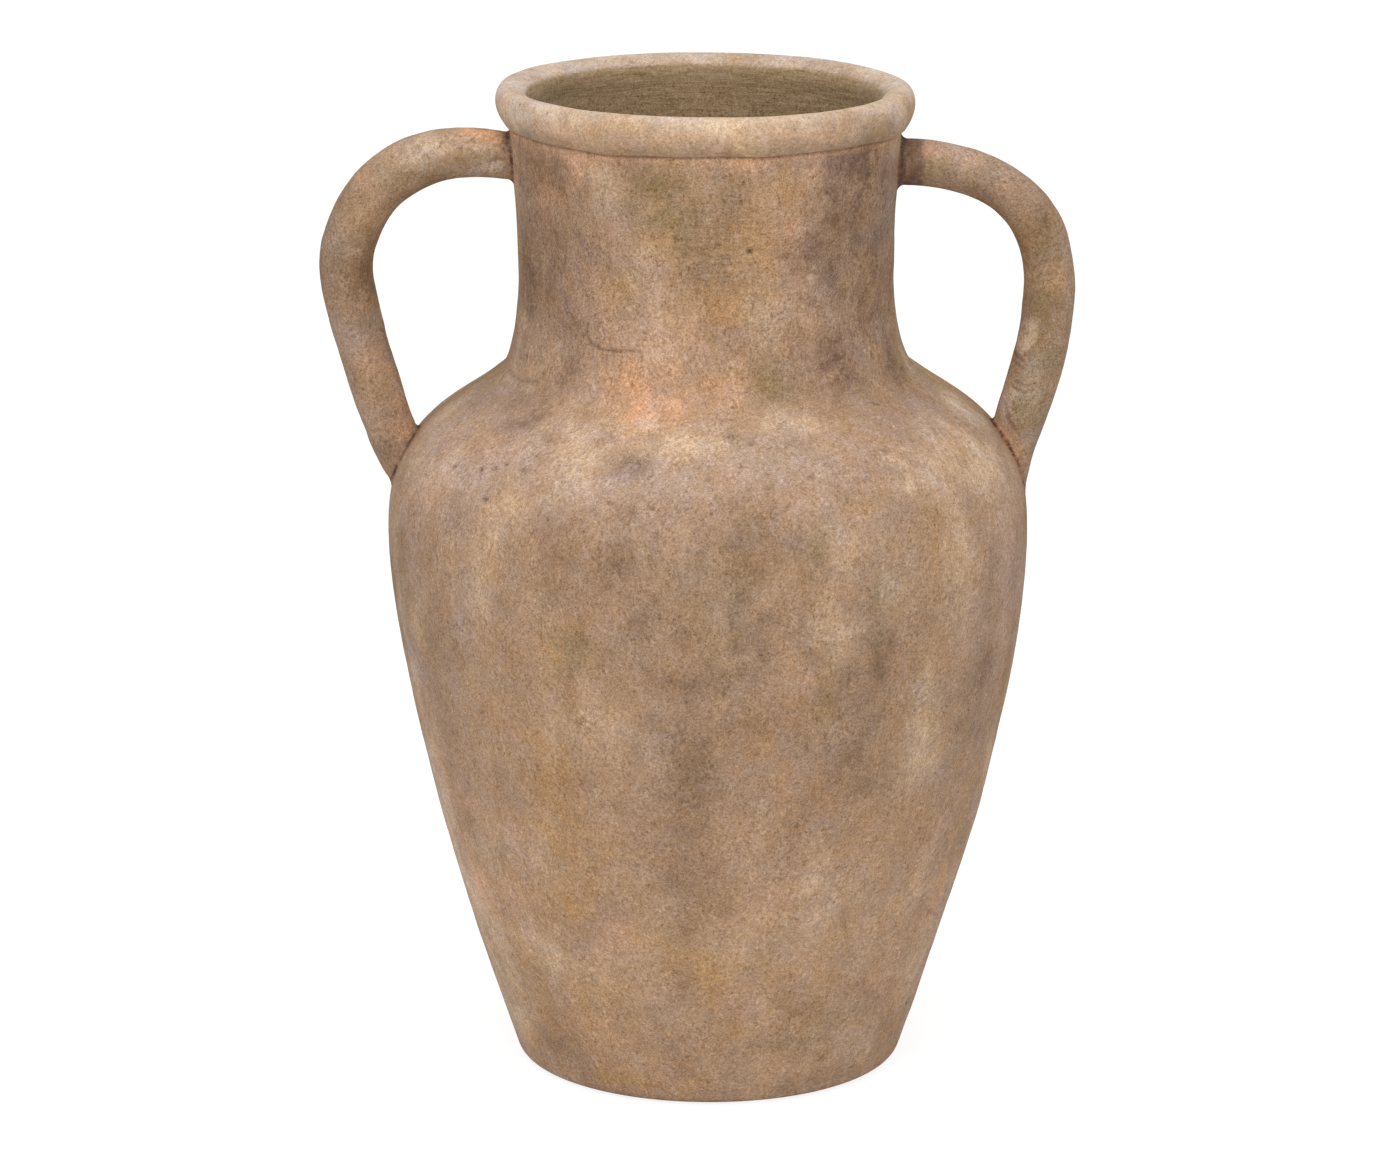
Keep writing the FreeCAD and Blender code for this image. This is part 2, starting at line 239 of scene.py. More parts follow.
# %% Columns and rows of the grid
def column_angles(fine=0.45, coarse=1.0, half_fine=98):
    """Angles in degrees round the pot: fine steps in front, growing to coarse ones behind."""
    front = np.arange(-half_fine, half_fine + fine / 2, fine)
    steps = int(round((360 - 2 * half_fine) / coarse))
    behind = half_fine + (360 - 2 * half_fine) * np.arange(1, steps) / steps
    return np.concatenate([front, behind])


def inside_between(high, low, step):
    """Rows of the inside from a height down to a lower one."""
    return even_rows(between(INSIDE, low, high), step)[::-1]


ANGLES = column_angles()
HEEL = np.vstack([[FOOT_RADIUS, 0], between(OUTSIDE, 0.02, FLOOR_TOP)])
LAP_EDGE = np.array([NECK_TOP_RADIUS, LAP_HEIGHT]) + [(-0.05, 0), (0.25, 0.25), (0.9, 0.1), (1.4, 0.35)]
NECK_FINE = 470
COIL_TOP = np.array([inner_radius(FLOOR_TOP + COIL_LEG), FLOOR_TOP + COIL_LEG])
COIL_TIP = np.array([inner_radius(FLOOR_TOP) - COIL_LEG, FLOOR_TOP])
RUNS = {  # the last number of each is the step between its rows
    "foot": even_rows(np.array([[0.0, 0.0], [FOOT_RADIUS, 0.0]]), 4),
    "heel": even_rows(HEEL, 0.8),
    "lower": even_rows(between(OUTSIDE, FLOOR_TOP, LOWER_JOINT), 1.25),
    "belly": even_rows(between(OUTSIDE, LOWER_JOINT, BELLY_JOINT), 1.25),
    "shoulder": even_rows(between(OUTSIDE, BELLY_JOINT, NECK_JOINT), 1.05),
    "neck": np.vstack([even_rows(between(OUTSIDE, NECK_JOINT, NECK_FINE), 1.05),
                       even_rows(between(OUTSIDE, NECK_FINE, LAP_HEIGHT - LAP_GAP), 0.55)[1:], LAP_EDGE[:1]]),
    "rim": np.vstack([LAP_EDGE, even_rows(RIM, 0.7)[1:], [[BORE_RADIUS, SEAT_HEIGHT - RIDGE]]]),
    "neck_inside": inside_between(SEAT_HEIGHT - RIDGE, NECK_JOINT, 2.8),
    "shoulder_inside": inside_between(NECK_JOINT, BELLY_JOINT, 5),
    "belly_inside": inside_between(BELLY_JOINT, LOWER_JOINT, 6),
    "lower_inside": inside_between(LOWER_JOINT, FLOOR_TOP + COIL_LEG, 6),
    "coil": even_rows(np.array([COIL_TOP, COIL_TIP]), 4),
    "floor": even_rows(np.array([COIL_TIP, [0.0, FLOOR_TOP]]), 6)}
STARTS, rows = {}, []
for name, run in RUNS.items():
    shares_row = bool(rows) and np.allclose(rows[-1], run[0])
    STARTS[name] = len(rows) - int(shares_row)
    rows.extend(run[int(shares_row):])
ROWS = np.array(rows)
CREST_ROW = STARTS["rim"] + int(np.argmax(RUNS["rim"][:, 1]))
print(len(ROWS), "rows by", len(ANGLES), "columns:", STARTS)

# %% [markdown]
# ## Reading the section, and a pot that leans
#
# A mark on the pot is placed by its angle and height, so its size has to be measured on the
# surface: along the girth, and up the section from the foot. A big pot also leans a little as it
# dries. How far its axis strays to the right of true is a short table, smoothed to a slow curve.

# %% Reading the section
LEAN_TABLE = [(0, 0.5), (60, 0.3), (140, 1.3), (220, 0.5), (280, 0.2), (320, 0), (343, 1.7), (361, -0.2),
              (385, -1.0), (430, -1.0), (498, -1.5)]  # height, how far the axis stands to the right
LENGTH_UP = np.append(0, np.cumsum(np.linalg.norm(np.diff(WHOLE_OUTSIDE, axis=0), axis=1)))


def moving_average(values, half, **ends):
    """The mean of each value and the neighbours on both its sides, with the ends carried on."""
    window = 2 * half + 1
    return np.convolve(np.pad(values, half, **ends), np.ones(window) / window, mode="valid")


def outside_radius(height):
    """The radius of the outside at a height, read off the section."""
    return np.interp(height, WHOLE_OUTSIDE[:, 1], WHOLE_OUTSIDE[:, 0])


def way_up(height):
    """The length of the section from the foot to a height."""
    return np.interp(height, WHOLE_OUTSIDE[:, 1], LENGTH_UP)


def lean(height):
    """How far the axis stands to the right of true at a height, read off the smoothed table."""
    return np.interp(height, LEAN_HEIGHTS, LEAN)


LEAN_HEIGHTS = np.arange(0.0, 500.0)
LEAN = moving_average(np.interp(LEAN_HEIGHTS, *zip(*LEAN_TABLE)), 8, mode="edge")
print("the axis strays by", LEAN.min().round(2), "to", LEAN.max().round(2), "mm")

# %% [markdown]
# ## Pits and creases
#
# Every pot has marks of its own: here pits where grit fell out, a crease at the foot of the
# neck, scratches and cracks. The eye knows a pot by them, so each is given one by one. A pit's depth falls
# off as a bell curve of the distance to its middle, and a crease's as one of the distance to a
# bent line of a few points.

# %% Marks in the clay
PITS = [  # angle, height, width, depth
    (12.9, 431.7, 1.6, 0.9), (-66.5, 368.9, 1.5, 0.6), (48.6, 352.3, 1.6, 0.7), (-58.0, 322.5, 2.0, 0.7),
    (-50.0, 324.1, 1.6, 0.9), (-46.6, 325.9, 1.4, 0.7), (-44.7, 328.6, 1.4, 0.8), (-39.6, 327.8, 1.5, 0.7),
    (-45.0, 312.6, 2.2, 0.7), (-18.2, 318.3, 1.5, 0.5), (-13.9, 315.5, 1.5, 0.6), (-10.3, 317.6, 1.4, 0.5),
    (4.3, 345.8, 1.6, 0.6), (9.2, 343.1, 1.8, 0.6), (6.1, 334.6, 1.5, 0.5), (11.1, 325.9, 1.4, 0.5),
    (20.5, 329.1, 1.6, 0.6), (39.6, 335.4, 1.7, 0.6), (17.1, 156.6, 1.4, 0.6), (-24.2, 209.4, 1.4, 0.5),
    (32.8, 22.1, 1.4, 0.6), (45.6, 11.1, 1.4, 0.6), (68.6, 35.5, 1.8, 0.7), (62.0, 87.8, 1.6, 0.6)]
CREASES = [  # points of angle and height, half width, depth
    ([(-80, 358.3), (-67.1, 357.2), (-56.5, 359.6), (-54.5, 364.8)], 1.0, 0.7),
    ([(68.0, 379.3), (66.3, 367.3), (71.5, 360.3), (78, 358.8)], 1.0, 0.6),
    ([(-37.9, 392.2), (-38.6, 387.3), (-36.6, 383.0), (-32.0, 380.4), (-21.8, 381.7)], 0.7, 0.95),
    ([(-32.3, 413.5), (-28.4, 411.4), (-25.5, 410.6)], 0.7, 0.3),
    ([(4.8, 416.3), (12.0, 414.0), (18.7, 413.4)], 0.7, 0.3),
    ([(38.9, 311.4), (37.4, 308.2), (36.2, 305.3)], 0.8, 0.4), ([(32.3, 170.2), (33.0, 166.2)], 0.8, 0.6),
    ([(34.6, 168.4), (36.2, 166.6), (36.0, 164.4)], 0.7, 0.5),
    ([(60.0, 91.8), (66.0, 85.3), (71.0, 79.8)], 0.9, 0.5),
    ([(-70.5, 477), (-72.8, 468), (-73.5, 450)], 1.0, 0.7),
    ([(-76.0, 476), (-77.5, 466), (-78.0, 454)], 1.6, -0.7)]
PIT_STRETCH, PIT_WIDTH, PIT_DEPTH, CREASE_REACH = 1.5, 0.75, 1.3, 40


def to_line(across, up, points):
    """The least distance from each place to a bent line of points, all measured on the surface."""
    best = np.full(across.shape, 1e9)
    for (a, b), (c, d) in zip(points[:-1], points[1:]):
        share = ((across - a) * (c - a) + (up - b) * (d - b)) / ((c - a) ** 2 + (d - b) ** 2)
        share = np.clip(share, 0, 1)
        best = np.minimum(best, np.hypot(across - a - share * (c - a), up - b - share * (d - b)))
    return best


def pit_depths(angle, height):
    """Depth of the pits: bell curves of the distance to each, drawn out along the girth."""
    depth, up = np.zeros(angle.shape), way_up(height)
    for pit_angle, pit_height, width, deepest in PITS:
        girth = np.radians(angle - pit_angle) * outside_radius(pit_height)
        near = np.hypot(girth / PIT_STRETCH, up - way_up(pit_height))
        depth += PIT_DEPTH * deepest * bell(near, PIT_WIDTH * width)
    return depth


def crease_depths(angle, height):
    """Depth of the creases: bell curves of the distance to each bent line; a raised one is negative."""
    depth, up = np.zeros(angle.shape), way_up(height)
    for points, width, deepest in CREASES:
        radius = outside_radius(points[0][1])
        line = [(np.radians(a) * radius, way_up(z)) for a, z in points]
        near = np.abs(height - points[0][1]) < CREASE_REACH
        distance = to_line(np.radians(angle[near]) * radius, up[near], line)
        depth[near] += deepest * bell(distance, width)
    return depth


print(len(PITS), "pits and", len(CREASES), "creases")

# %% [markdown]
# ## Where the surface leaves the perfect section
#
# Several things move the surface. The pot is a little out of round, its rim is tilted and its lap
# wavers, as on a big pot when it dries. It has slow swellings and fainter, smaller ones, which are
# the soft noise at several sizes, and bands that run round it where a hand rested while the pot
# turned. From these the depths of the marks are taken off.

# %% The surface of the pot
SWELLINGS = ((0.55, 85, 1), (0.28, 34, 2), (0.13, 14, 3), (0.07, 6, 4))  # height, size and seed of the noise
BANDS, BAND_SIZE, BAND_SEED = 0.14, 11, 5
LAP_WAVES = ((0.5, 3, 0.4), (0.35, 7, 2.0), (0.2, 16, 0.0))  # height, waves round the pot, shift
OVAL, OVAL_TURN, RIM_TILT, TILT_FROM = 0.45, 20, 0.0055, 440


def lap_line(angle):
    """How far the lap under the rim strays up or down, as a few waves round the pot."""
    return sum(high * np.sin(count * np.radians(angle) + shift) for high, count, shift in LAP_WAVES)


def clay_relief(points, angle, height, outside, rim):
    """How far the clay stands out of the section: slow swellings, bands round the pot, less marks."""
    relief = sum(high * soft_noise(points, size, seed) for high, size, seed in SWELLINGS)
    flat = points * (0.25, 0.25, 1.0)
    relief = relief + BANDS * soft_noise(flat, BAND_SIZE, BAND_SEED) * (1 - 0.5 * outside)
    marks = pit_depths(angle, height) + crease_depths(angle, height)
    return relief * (1 - 0.35 * rim) - marks * outside * (1 - rim)


def pot_surface():
    """The grid of points: the turned section, leaned, tilted at the rim and moved by its relief."""
    angle, height = np.meshgrid(ANGLES, ROWS[:, 1])
    turn, radius = np.radians(angle), ROWS[:, :1, None]
    way = np.stack([np.sin(turn), -np.cos(turn), np.zeros(turn.shape)], axis=-1)
    along = np.gradient(ROWS, axis=0)
    along /= np.maximum(np.linalg.norm(along, axis=1), 1e-9)[:, None]
    out = way * along[:, None, 1:2] + np.array([0, 0, -1.0]) * along[:, None, 0:1]
    rows = np.arange(len(ROWS))[:, None]
    rim = ((rows >= STARTS["rim"]) & (rows <= STARTS["neck_inside"])).astype(float)
    outside = (rows <= STARTS["neck_inside"]).astype(float)
    points = way * radius + np.stack([0 * turn, 0 * turn, height], axis=-1)
    fades = np.interp(ROWS[:, 1], [0, 3, 12], [0, 0.3, 1.0])
    fades[STARTS["coil"]:] = 0.8
    relief = clay_relief(points, angle, height, outside, rim) * fades[:, None]
    on_axis = np.clip(ROWS[:, 0] / 10, 0, 1)
    oval = OVAL * np.cos(2 * np.radians(angle - OVAL_TURN)) * on_axis[:, None]
    moved = points + out * relief[..., None] + way * oval[..., None]
    moved[..., 0] += lean(height)
    top = np.interp(height, [TILT_FROM, LAP_HEIGHT], [0, 1])
    moved[..., 2] -= top * RIM_TILT * moved[..., 0]
    near_lap = np.interp(height, [NECK_FINE, LAP_HEIGHT, 482, 489], [0, 1, 0.8, 0]) * outside
    moved[..., 2] += near_lap * lap_line(angle)
    return moved, angle, height


def grid_normals(points, closed_rows=False):
    """Square to the surface: the cross product of its two directions, round the pot and along a row."""
    around = np.roll(points, -1, axis=1) - np.roll(points, 1, axis=1)
    if closed_rows:
        along = np.roll(points, -1, axis=0) - np.roll(points, 1, axis=0)
    else:
        along = np.gradient(points, axis=0)
    normals = np.cross(around, along)
    return normals / np.maximum(np.linalg.norm(normals, axis=-1), 1e-12)[..., None]


POT, POT_ANGLE, POT_HEIGHT = pot_surface()
POT_NORMALS = grid_normals(POT)
print("pot surface", POT.shape, "from", POT.min((0, 1)).round(2), "to", POT.max((0, 1)).round(2), "mm")

# %% [markdown]
# ## Where the pot's surface really is
#
# The handles have to meet the pot as it is now, with its lean and swellings. So the grid is kept
# as one number for each of its points: how far the surface stands out of the plain section there.
# Any place can then be measured against the pot, moved onto it or drawn back to it.

# %% Measuring against the pot
SKIN = slice(STARTS["heel"], CREST_ROW + 1)
SKIN_OFFSET = (np.hypot(POT[SKIN][..., 0] - lean(POT[SKIN][..., 2]), POT[SKIN][..., 1])
               - outside_radius(POT[SKIN][..., 2]))


def skin_offset(angle, height):
    """How far the moved surface stands out of the section, read between the grid's rows and columns."""
    row = np.interp(height, ROWS[SKIN][:, 1], np.arange(SKIN_OFFSET.shape[0]))
    ways_round = np.append(ANGLES - ANGLES[0], 360)
    column = np.interp((angle - ANGLES[0]) % 360, ways_round, np.arange(len(ways_round)))
    i, j = np.minimum(row.astype(int), SKIN_OFFSET.shape[0] - 2), column.astype(int) % len(ANGLES)
    u, v, k = row - i, column - np.floor(column), (j + 1) % len(ANGLES)
    low = SKIN_OFFSET[i, j] * (1 - v) + SKIN_OFFSET[i, k] * v
    high = SKIN_OFFSET[i + 1, j] * (1 - v) + SKIN_OFFSET[i + 1, k] * v
    return low * (1 - u) + high * u


def outside_of_pot(points):
    """How far places lie outside the pot, level with it: distance from the axis less the radius there."""
    x, y, height = points[..., 0] - lean(points[..., 2]), points[..., 1], points[..., 2]
    return np.hypot(x, y) - outside_radius(height) - skin_offset(np.degrees(np.arctan2(x, -y)), height)


def onto_pot(points, lift=0.0):
    """The same places moved level, towards or from the axis, until they lie on the pot's surface."""
    centre = np.stack([lean(points[..., 2]), 0 * points[..., 0], points[..., 2]], axis=-1)
    reach = np.hypot(points[..., 0] - centre[..., 0], points[..., 1])
    share = (reach - outside_of_pot(points) + lift) / np.maximum(reach, 1e-6)
    return centre + (points - centre) * share[..., None]


def draw_back(points, depth=5.0):
    """What is buried deeper than the depth comes out to that depth; the rest stays."""
    buried = outside_of_pot(points) < -depth
    return np.where(buried[..., None], onto_pot(points, -depth), points)


print("out of its section by", SKIN_OFFSET.min().round(2), "to", SKIN_OFFSET.max().round(2), "mm")

# %% [markdown]
# ## The bent handles
#
# A handle is a coil of clay, rolled by hand, bent and pressed on. Its middle line is two Bezier
# curves that lie in the plane of the axis: out of the neck and down to the widest place, then in
# to the shoulder. The corner where they meet is smoothed, because clay doesn't bend in a point.
# The ends run into the wall, so that every side of the coil passes into the clay.

# %% Middle lines of the handles
def handle_foot(height, depth):
    """Where a handle's line ends: at a height, and some way in from the outside of the shoulder."""
    return (float(outside_radius(height)) - depth, height)


HANDLES = {
    "left": dict(side=-1, root=(88.7, 460.0), root_lean=0.26, root_pull=0.77, bend=(180.2, 405.0),
                 bend_pull=23.7, fall_pull=15.4, foot=handle_foot(302.3, 9.0), foot_turn=52.0,
                 foot_pull=10.3, sizes=(22.2, 27.3, 27.4, 25.6, 23.4), seed=21),
    "right": dict(side=1, root=(88.7, 458.9), root_lean=0.04, root_pull=0.46, bend=(170.0, 398.9),
                  bend_pull=49.2, fall_pull=51.8, foot=handle_foot(289.0, 12.0), foot_turn=0.0,
                  foot_pull=34.1, sizes=(22.8, 23.3, 25.3, 26.2, 22.0), seed=31)}


def handle_line(h, step, buried=8.0):
    """The middle line at even steps: two Bezier curves that meet at the bend, then smoothed."""
    root, bend, foot = (np.array(h[k]) for k in ("root", "bend", "foot"))
    turn = np.radians(h["foot_turn"])
    out = bend[0] - root[0]
    first = cubic(root, root + np.array([1, h["root_lean"]]) * out * h["root_pull"],
                  bend + (0, h["bend_pull"]), bend)
    second = cubic(bend, bend - (0, h["fall_pull"]),
                   foot + np.array([np.sin(turn), np.cos(turn)]) * h["foot_pull"], foot)
    line = np.vstack([first, second[1:]])
    length = np.linalg.norm(np.diff(line, axis=0), axis=1).sum()
    before = line[0] - (line[1] - line[0]) / np.linalg.norm(line[1] - line[0]) * buried
    after = line[-1] + (line[-1] - line[-2]) / np.linalg.norm(line[-1] - line[-2]) * buried
    line = even_rows(np.vstack([before, line, after]), step)
    smoothed = [moving_average(part, 10, mode="reflect", reflect_type="odd") for part in line.T]
    line = np.column_stack(smoothed)
    distance = np.linspace(-buried, length + buried, len(line))
    return line, np.clip(distance / length, 0, 1), length


for side, h in HANDLES.items():
    print(side, "handle,", round(float(handle_line(h, 1.0)[2]), 1), "mm along its middle line")

# %% [markdown]
# ## Pits, wrinkles and a thumb mark
#
# The handles are rougher than the wall, because they were bent when half dry. The left one has a
# group of pits and a few short cracks. The right one has the flat oval that a thumb left, and
# below it wrinkles where the clay was pushed together.

# %% Marks on the handles
HANDLE_PITS = {  # distance from the axis, height, width, depth, on the side that faces front
    "left": [(143, 468, 1.4, 0.7), (146, 470, 1.2, 0.6), (145, 465.5, 1.5, 0.8), (148, 463, 1.3, 0.6),
             (152, 465.5, 1.3, 0.5), (141, 470.5, 1.2, 0.5), (156, 463, 1.2, 0.5), (129, 473, 1.1, 0.5),
             (131, 470.5, 1.0, 0.5), (126, 471.5, 1.0, 0.4), (172, 378, 1.3, 0.4), (176, 373, 1.4, 0.5),
             (174, 369, 1.2, 0.4), (151, 346, 1.2, 0.5), (161, 319, 1.3, 0.6), (171, 444, 1.3, 0.4),
             (160, 333, 1.1, 0.4), (101, 462.2, 1.0, 0.7), (102.5, 462.3, 1.0, 0.7), (104, 462.3, 1.0, 0.6),
             (105.5, 462.0, 1.0, 0.5), (107, 461.6, 1.0, 0.4)],
    "right": [(141, 452, 1.3, 0.6), (143.5, 453, 1.2, 0.6), (140, 449.5, 1.2, 0.5), (147, 450.5, 1.2, 0.6),
              (150, 452, 1.3, 0.6), (153, 455, 1.2, 0.5), (149, 456.5, 1.1, 0.5), (165, 437, 1.3, 0.5),
              (167, 431, 1.4, 0.6), (168, 423, 1.3, 0.4), (157, 343, 1.2, 0.5), (152, 362, 1.6, 0.5),
              (160, 446, 1.2, 0.4)]}
HANDLE_CREASES = {  # points of distance from the axis and height, half width, depth
    "left": [([(106, 471.5), (112, 470.8), (117, 471.6)], 0.6, 0.4),
             ([(99, 474), (100.5, 468), (99.5, 461)], 0.8, 0.5),
             ([(147, 334), (151, 331.5), (153, 327)], 0.6, 0.35), ([(157, 327), (160, 323)], 0.6, 0.35)],
    "right": [([(150.5, 366), (153, 362.5), (157, 359.5)], 0.7, 0.6),
              ([(149.5, 363), (152.5, 359), (156, 357)], 0.6, 0.5),
              ([(153.5, 366.5), (157.5, 364), (160, 363.5)], 0.6, 0.4),
              ([(153, 350), (158, 348), (163, 349.5)], 0.6, 0.5),
              ([(152, 346.5), (157, 344.5), (162, 346)], 0.6, 0.5),
              ([(155, 341.5), (160, 340.5)], 0.6, 0.45),
              ([(148, 338), (149.5, 331), (153.5, 325)], 0.9, 0.7)]}
THUMB_MARK = {"right": (159.0, 373.6, 5.6, 10.4, 0.28)}  # distance from the axis, height, half sizes, slope
HANDLE_PIT_WIDTH, HANDLE_PIT_DEPTH, THUMB_EDGE, THUMB_DEPTH = 0.8, 1.2, 3.5, 0.7


def handle_pits(points, side):
    """Depth of pits and creases on a handle: bell curves of the distance to each, in front alone."""
    depth, front = np.zeros(points.shape[:2]), np.clip(-points[..., 1] / 4, 0, 1)
    out, height = np.abs(points[..., 0]), points[..., 2]
    for x, z, width, deepest in HANDLE_PITS[side]:
        near = np.hypot(out - x, height - z)
        depth += HANDLE_PIT_DEPTH * deepest * front * bell(near, HANDLE_PIT_WIDTH * width)
    for line, width, deepest in HANDLE_CREASES[side]:
        depth += deepest * front * bell(to_line(out, height, line), width)
    return depth


def thumb_mark(points, side):
    """How much a point lies in the mark of a thumb: an oval with a short slope at its edge."""
    if side not in THUMB_MARK:
        return np.zeros(points.shape[:2])
    x, z, wide, tall, slope = THUMB_MARK[side]
    across, up = np.abs(points[..., 0]) - x - slope * (points[..., 2] - z), points[..., 2] - z
    inner = np.clip((1 - np.hypot(across / wide, up / tall)) * THUMB_EDGE, 0, 1)
    return inner * np.clip(-points[..., 1] / 3, 0, 1)


print({side: len(HANDLE_PITS[side]) + len(HANDLE_CREASES[side]) for side in HANDLES}, "marks on the handles")

# %% [markdown]
# ## The surface of a handle
#
# Round the middle line goes an oval, a little deeper than it is wide, whose thickness changes
# along the way. Soft noise makes it lumpy, and the marks are taken off. The ends run into the
# wall, and each point that would come through to the inside is later drawn back to a few
# millimetres under the outside, so the coil ends in the wall as a real one does.

# %% The surface of a handle
HANDLE_SWELLINGS = ((0.35, 30, 0), (0.3, 12, 1), (0.12, 5, 2))  # height, size of the noise, step of the seed
HALF_ACROSS, HALF_DEEP, SIZE_SMOOTHING = 0.5, 0.53, 12


def handle_surface(side, columns=112, step=0.85):
    """Points round the line: line + across * thickness / 2 * cos + sideways * depth / 2 * sin."""
    h = HANDLES[side]
    line, share = handle_line(h, step)[:2]
    along = np.gradient(line, axis=0)
    along /= np.linalg.norm(along, axis=1)[:, None]
    size = np.interp(share, np.linspace(0, 1, len(h["sizes"])), h["sizes"])
    size = moving_average(size, SIZE_SMOOTHING, mode="edge")
    turn = np.linspace(0, 2 * np.pi, columns, endpoint=False)
    across = np.stack([-along[:, 1], 0 * share, along[:, 0]], axis=-1)
    sideways = np.array([0.0, 1.0, 0.0])
    out = across[:, None] * np.cos(turn)[None, :, None] + sideways * np.sin(turn)[None, :, None]
    middle = np.stack([line[:, 0], 0 * share, line[:, 1]], axis=-1)
    oval = np.stack([np.cos(turn), np.sin(turn)], axis=-1) * (HALF_ACROSS, HALF_DEEP)
    round_line = (across[:, None] * oval[None, :, :1] + sideways * oval[None, :, 1:]) * size[:, None, None]
    points = middle[:, None] + round_line
    relief = sum(high * soft_noise(points, cell, h["seed"] + k) for high, cell, k in HANDLE_SWELLINGS)
    dents = handle_pits(points, side) + THUMB_DEPTH * thumb_mark(points, side)
    return points + out * (relief - dents)[..., None]


def placed_handle(side):
    """The handle's surface on its own side of the pot, facing outwards, before its ends are drawn back."""
    points = handle_surface(side)
    if HANDLES[side]["side"] > 0:
        points = points[:, ::-1]
    return points * (HANDLES[side]["side"], 1, 1)


HANDLE_POINTS = {side: placed_handle(side) for side in HANDLES}
print("handle grids:", {side: points.shape[:2] for side, points in HANDLE_POINTS.items()})

# %% [markdown]
# ## Clay pressed round the handle ends
#
# Where a coil meets the wall the potter presses a thin roll of clay into the corner and smears it
# out, a little on the handle and a little on the wall. In section that is a fillet. Round the
# handle, each line of its surface is followed to the place where it enters the pot. The fillet is
# a Bezier curve from a point some way up the handle to a point some way out on the wall, with its
# middle pole in the corner. How far it reaches changes round the handle, as a thumb leaves it.

# %% Fillets of smeared clay
FILLET_ROWS, FILLET_FULLNESS = 10, 0.25
WAVE_SIZE, WAVE_SHARE, REACH_SIZE, REACH_SHARE = 9, 0.45, 8, 0.5
SUNK, UNDER_WALL, UNDER_CORNER, INTO_HANDLE = 0.12, 1.8, 2.0, 0.15


def entry_of(points, at_start):
    """For each line along the handle: the row, with its fraction, where it passes into the pot."""
    outside = outside_of_pot(points)
    middle, inside = points.shape[0] // 2, outside < 0
    if at_start:
        row = middle - 1 - np.argmax(inside[:middle][::-1], axis=0)
        other = row + 1
    else:
        row = middle + np.argmax(inside[middle:], axis=0)
        other = row - 1
    columns = np.arange(points.shape[1])
    deep, high = outside[row, columns], outside[other, columns]
    return row + (other - row) * (-deep / (high - deep))


def along_handle(points, row):
    """Points of the handle's surface at fractional rows, one for each line along it."""
    row = np.clip(row, 0, points.shape[0] - 1.001)
    low, columns = row.astype(int), np.arange(points.shape[1])
    share = (row - low)[:, None]
    return points[low, columns] * (1 - share) + points[low + 1, columns] * share


def luting_surface(points, at_start, up_handle, on_wall, seed):
    """A closed ring: a fillet from handle to wall, and back again under both surfaces."""
    entry = entry_of(points, at_start)
    away = 1 if at_start else -1
    step = np.linalg.norm(points[1:] - points[:-1], axis=-1).mean()
    corner = along_handle(points, entry)
    wave = soft_noise(corner, WAVE_SIZE, seed)
    on_handle = along_handle(points, entry + away * up_handle * (1 + WAVE_SHARE * wave) / step)
    middle = points.mean(axis=1)[np.clip(entry.astype(int), 0, len(points) - 1)]
    outward = corner - middle
    wall_normal = onto_pot(corner, 1.0) - corner
    wall_normal /= np.linalg.norm(wall_normal, axis=1)[:, None]
    outward -= wall_normal * (outward * wall_normal).sum(1)[:, None]
    outward /= np.linalg.norm(outward, axis=1)[:, None]
    reach = on_wall * (1 + REACH_SHARE * soft_noise(corner + 50, REACH_SIZE, seed + 1))
    wall_point = onto_pot(corner + outward * reach[:, None], -SUNK)
    mid_pole = corner + ((on_handle + wall_point) / 2 - corner) * FILLET_FULLNESS
    t = np.linspace(0, 1, FILLET_ROWS)[:, None, None]
    start = on_handle + (middle - on_handle) * 0.012
    fillet = (1 - t) ** 2 * start + 2 * (1 - t) * t * mid_pole + t ** 2 * wall_point
    under_wall = onto_pot(corner + outward * (reach * 0.5)[:, None], -UNDER_WALL)
    under_corner = onto_pot(corner + (middle - corner) * INTO_HANDLE, -UNDER_CORNER)
    under_handle = on_handle + (middle - on_handle) * INTO_HANDLE
    ring = np.concatenate([fillet, [under_wall, under_corner, under_handle]])
    return ring[:, ::-1] if at_start else ring


LUTINGS = {"left": ((3.6, 3.2), (3.4, 2.6)), "right": ((3.6, 3.0), (4.6, 3.0))}
print("lutings reach up the handles and out on the wall by", LUTINGS, "mm")
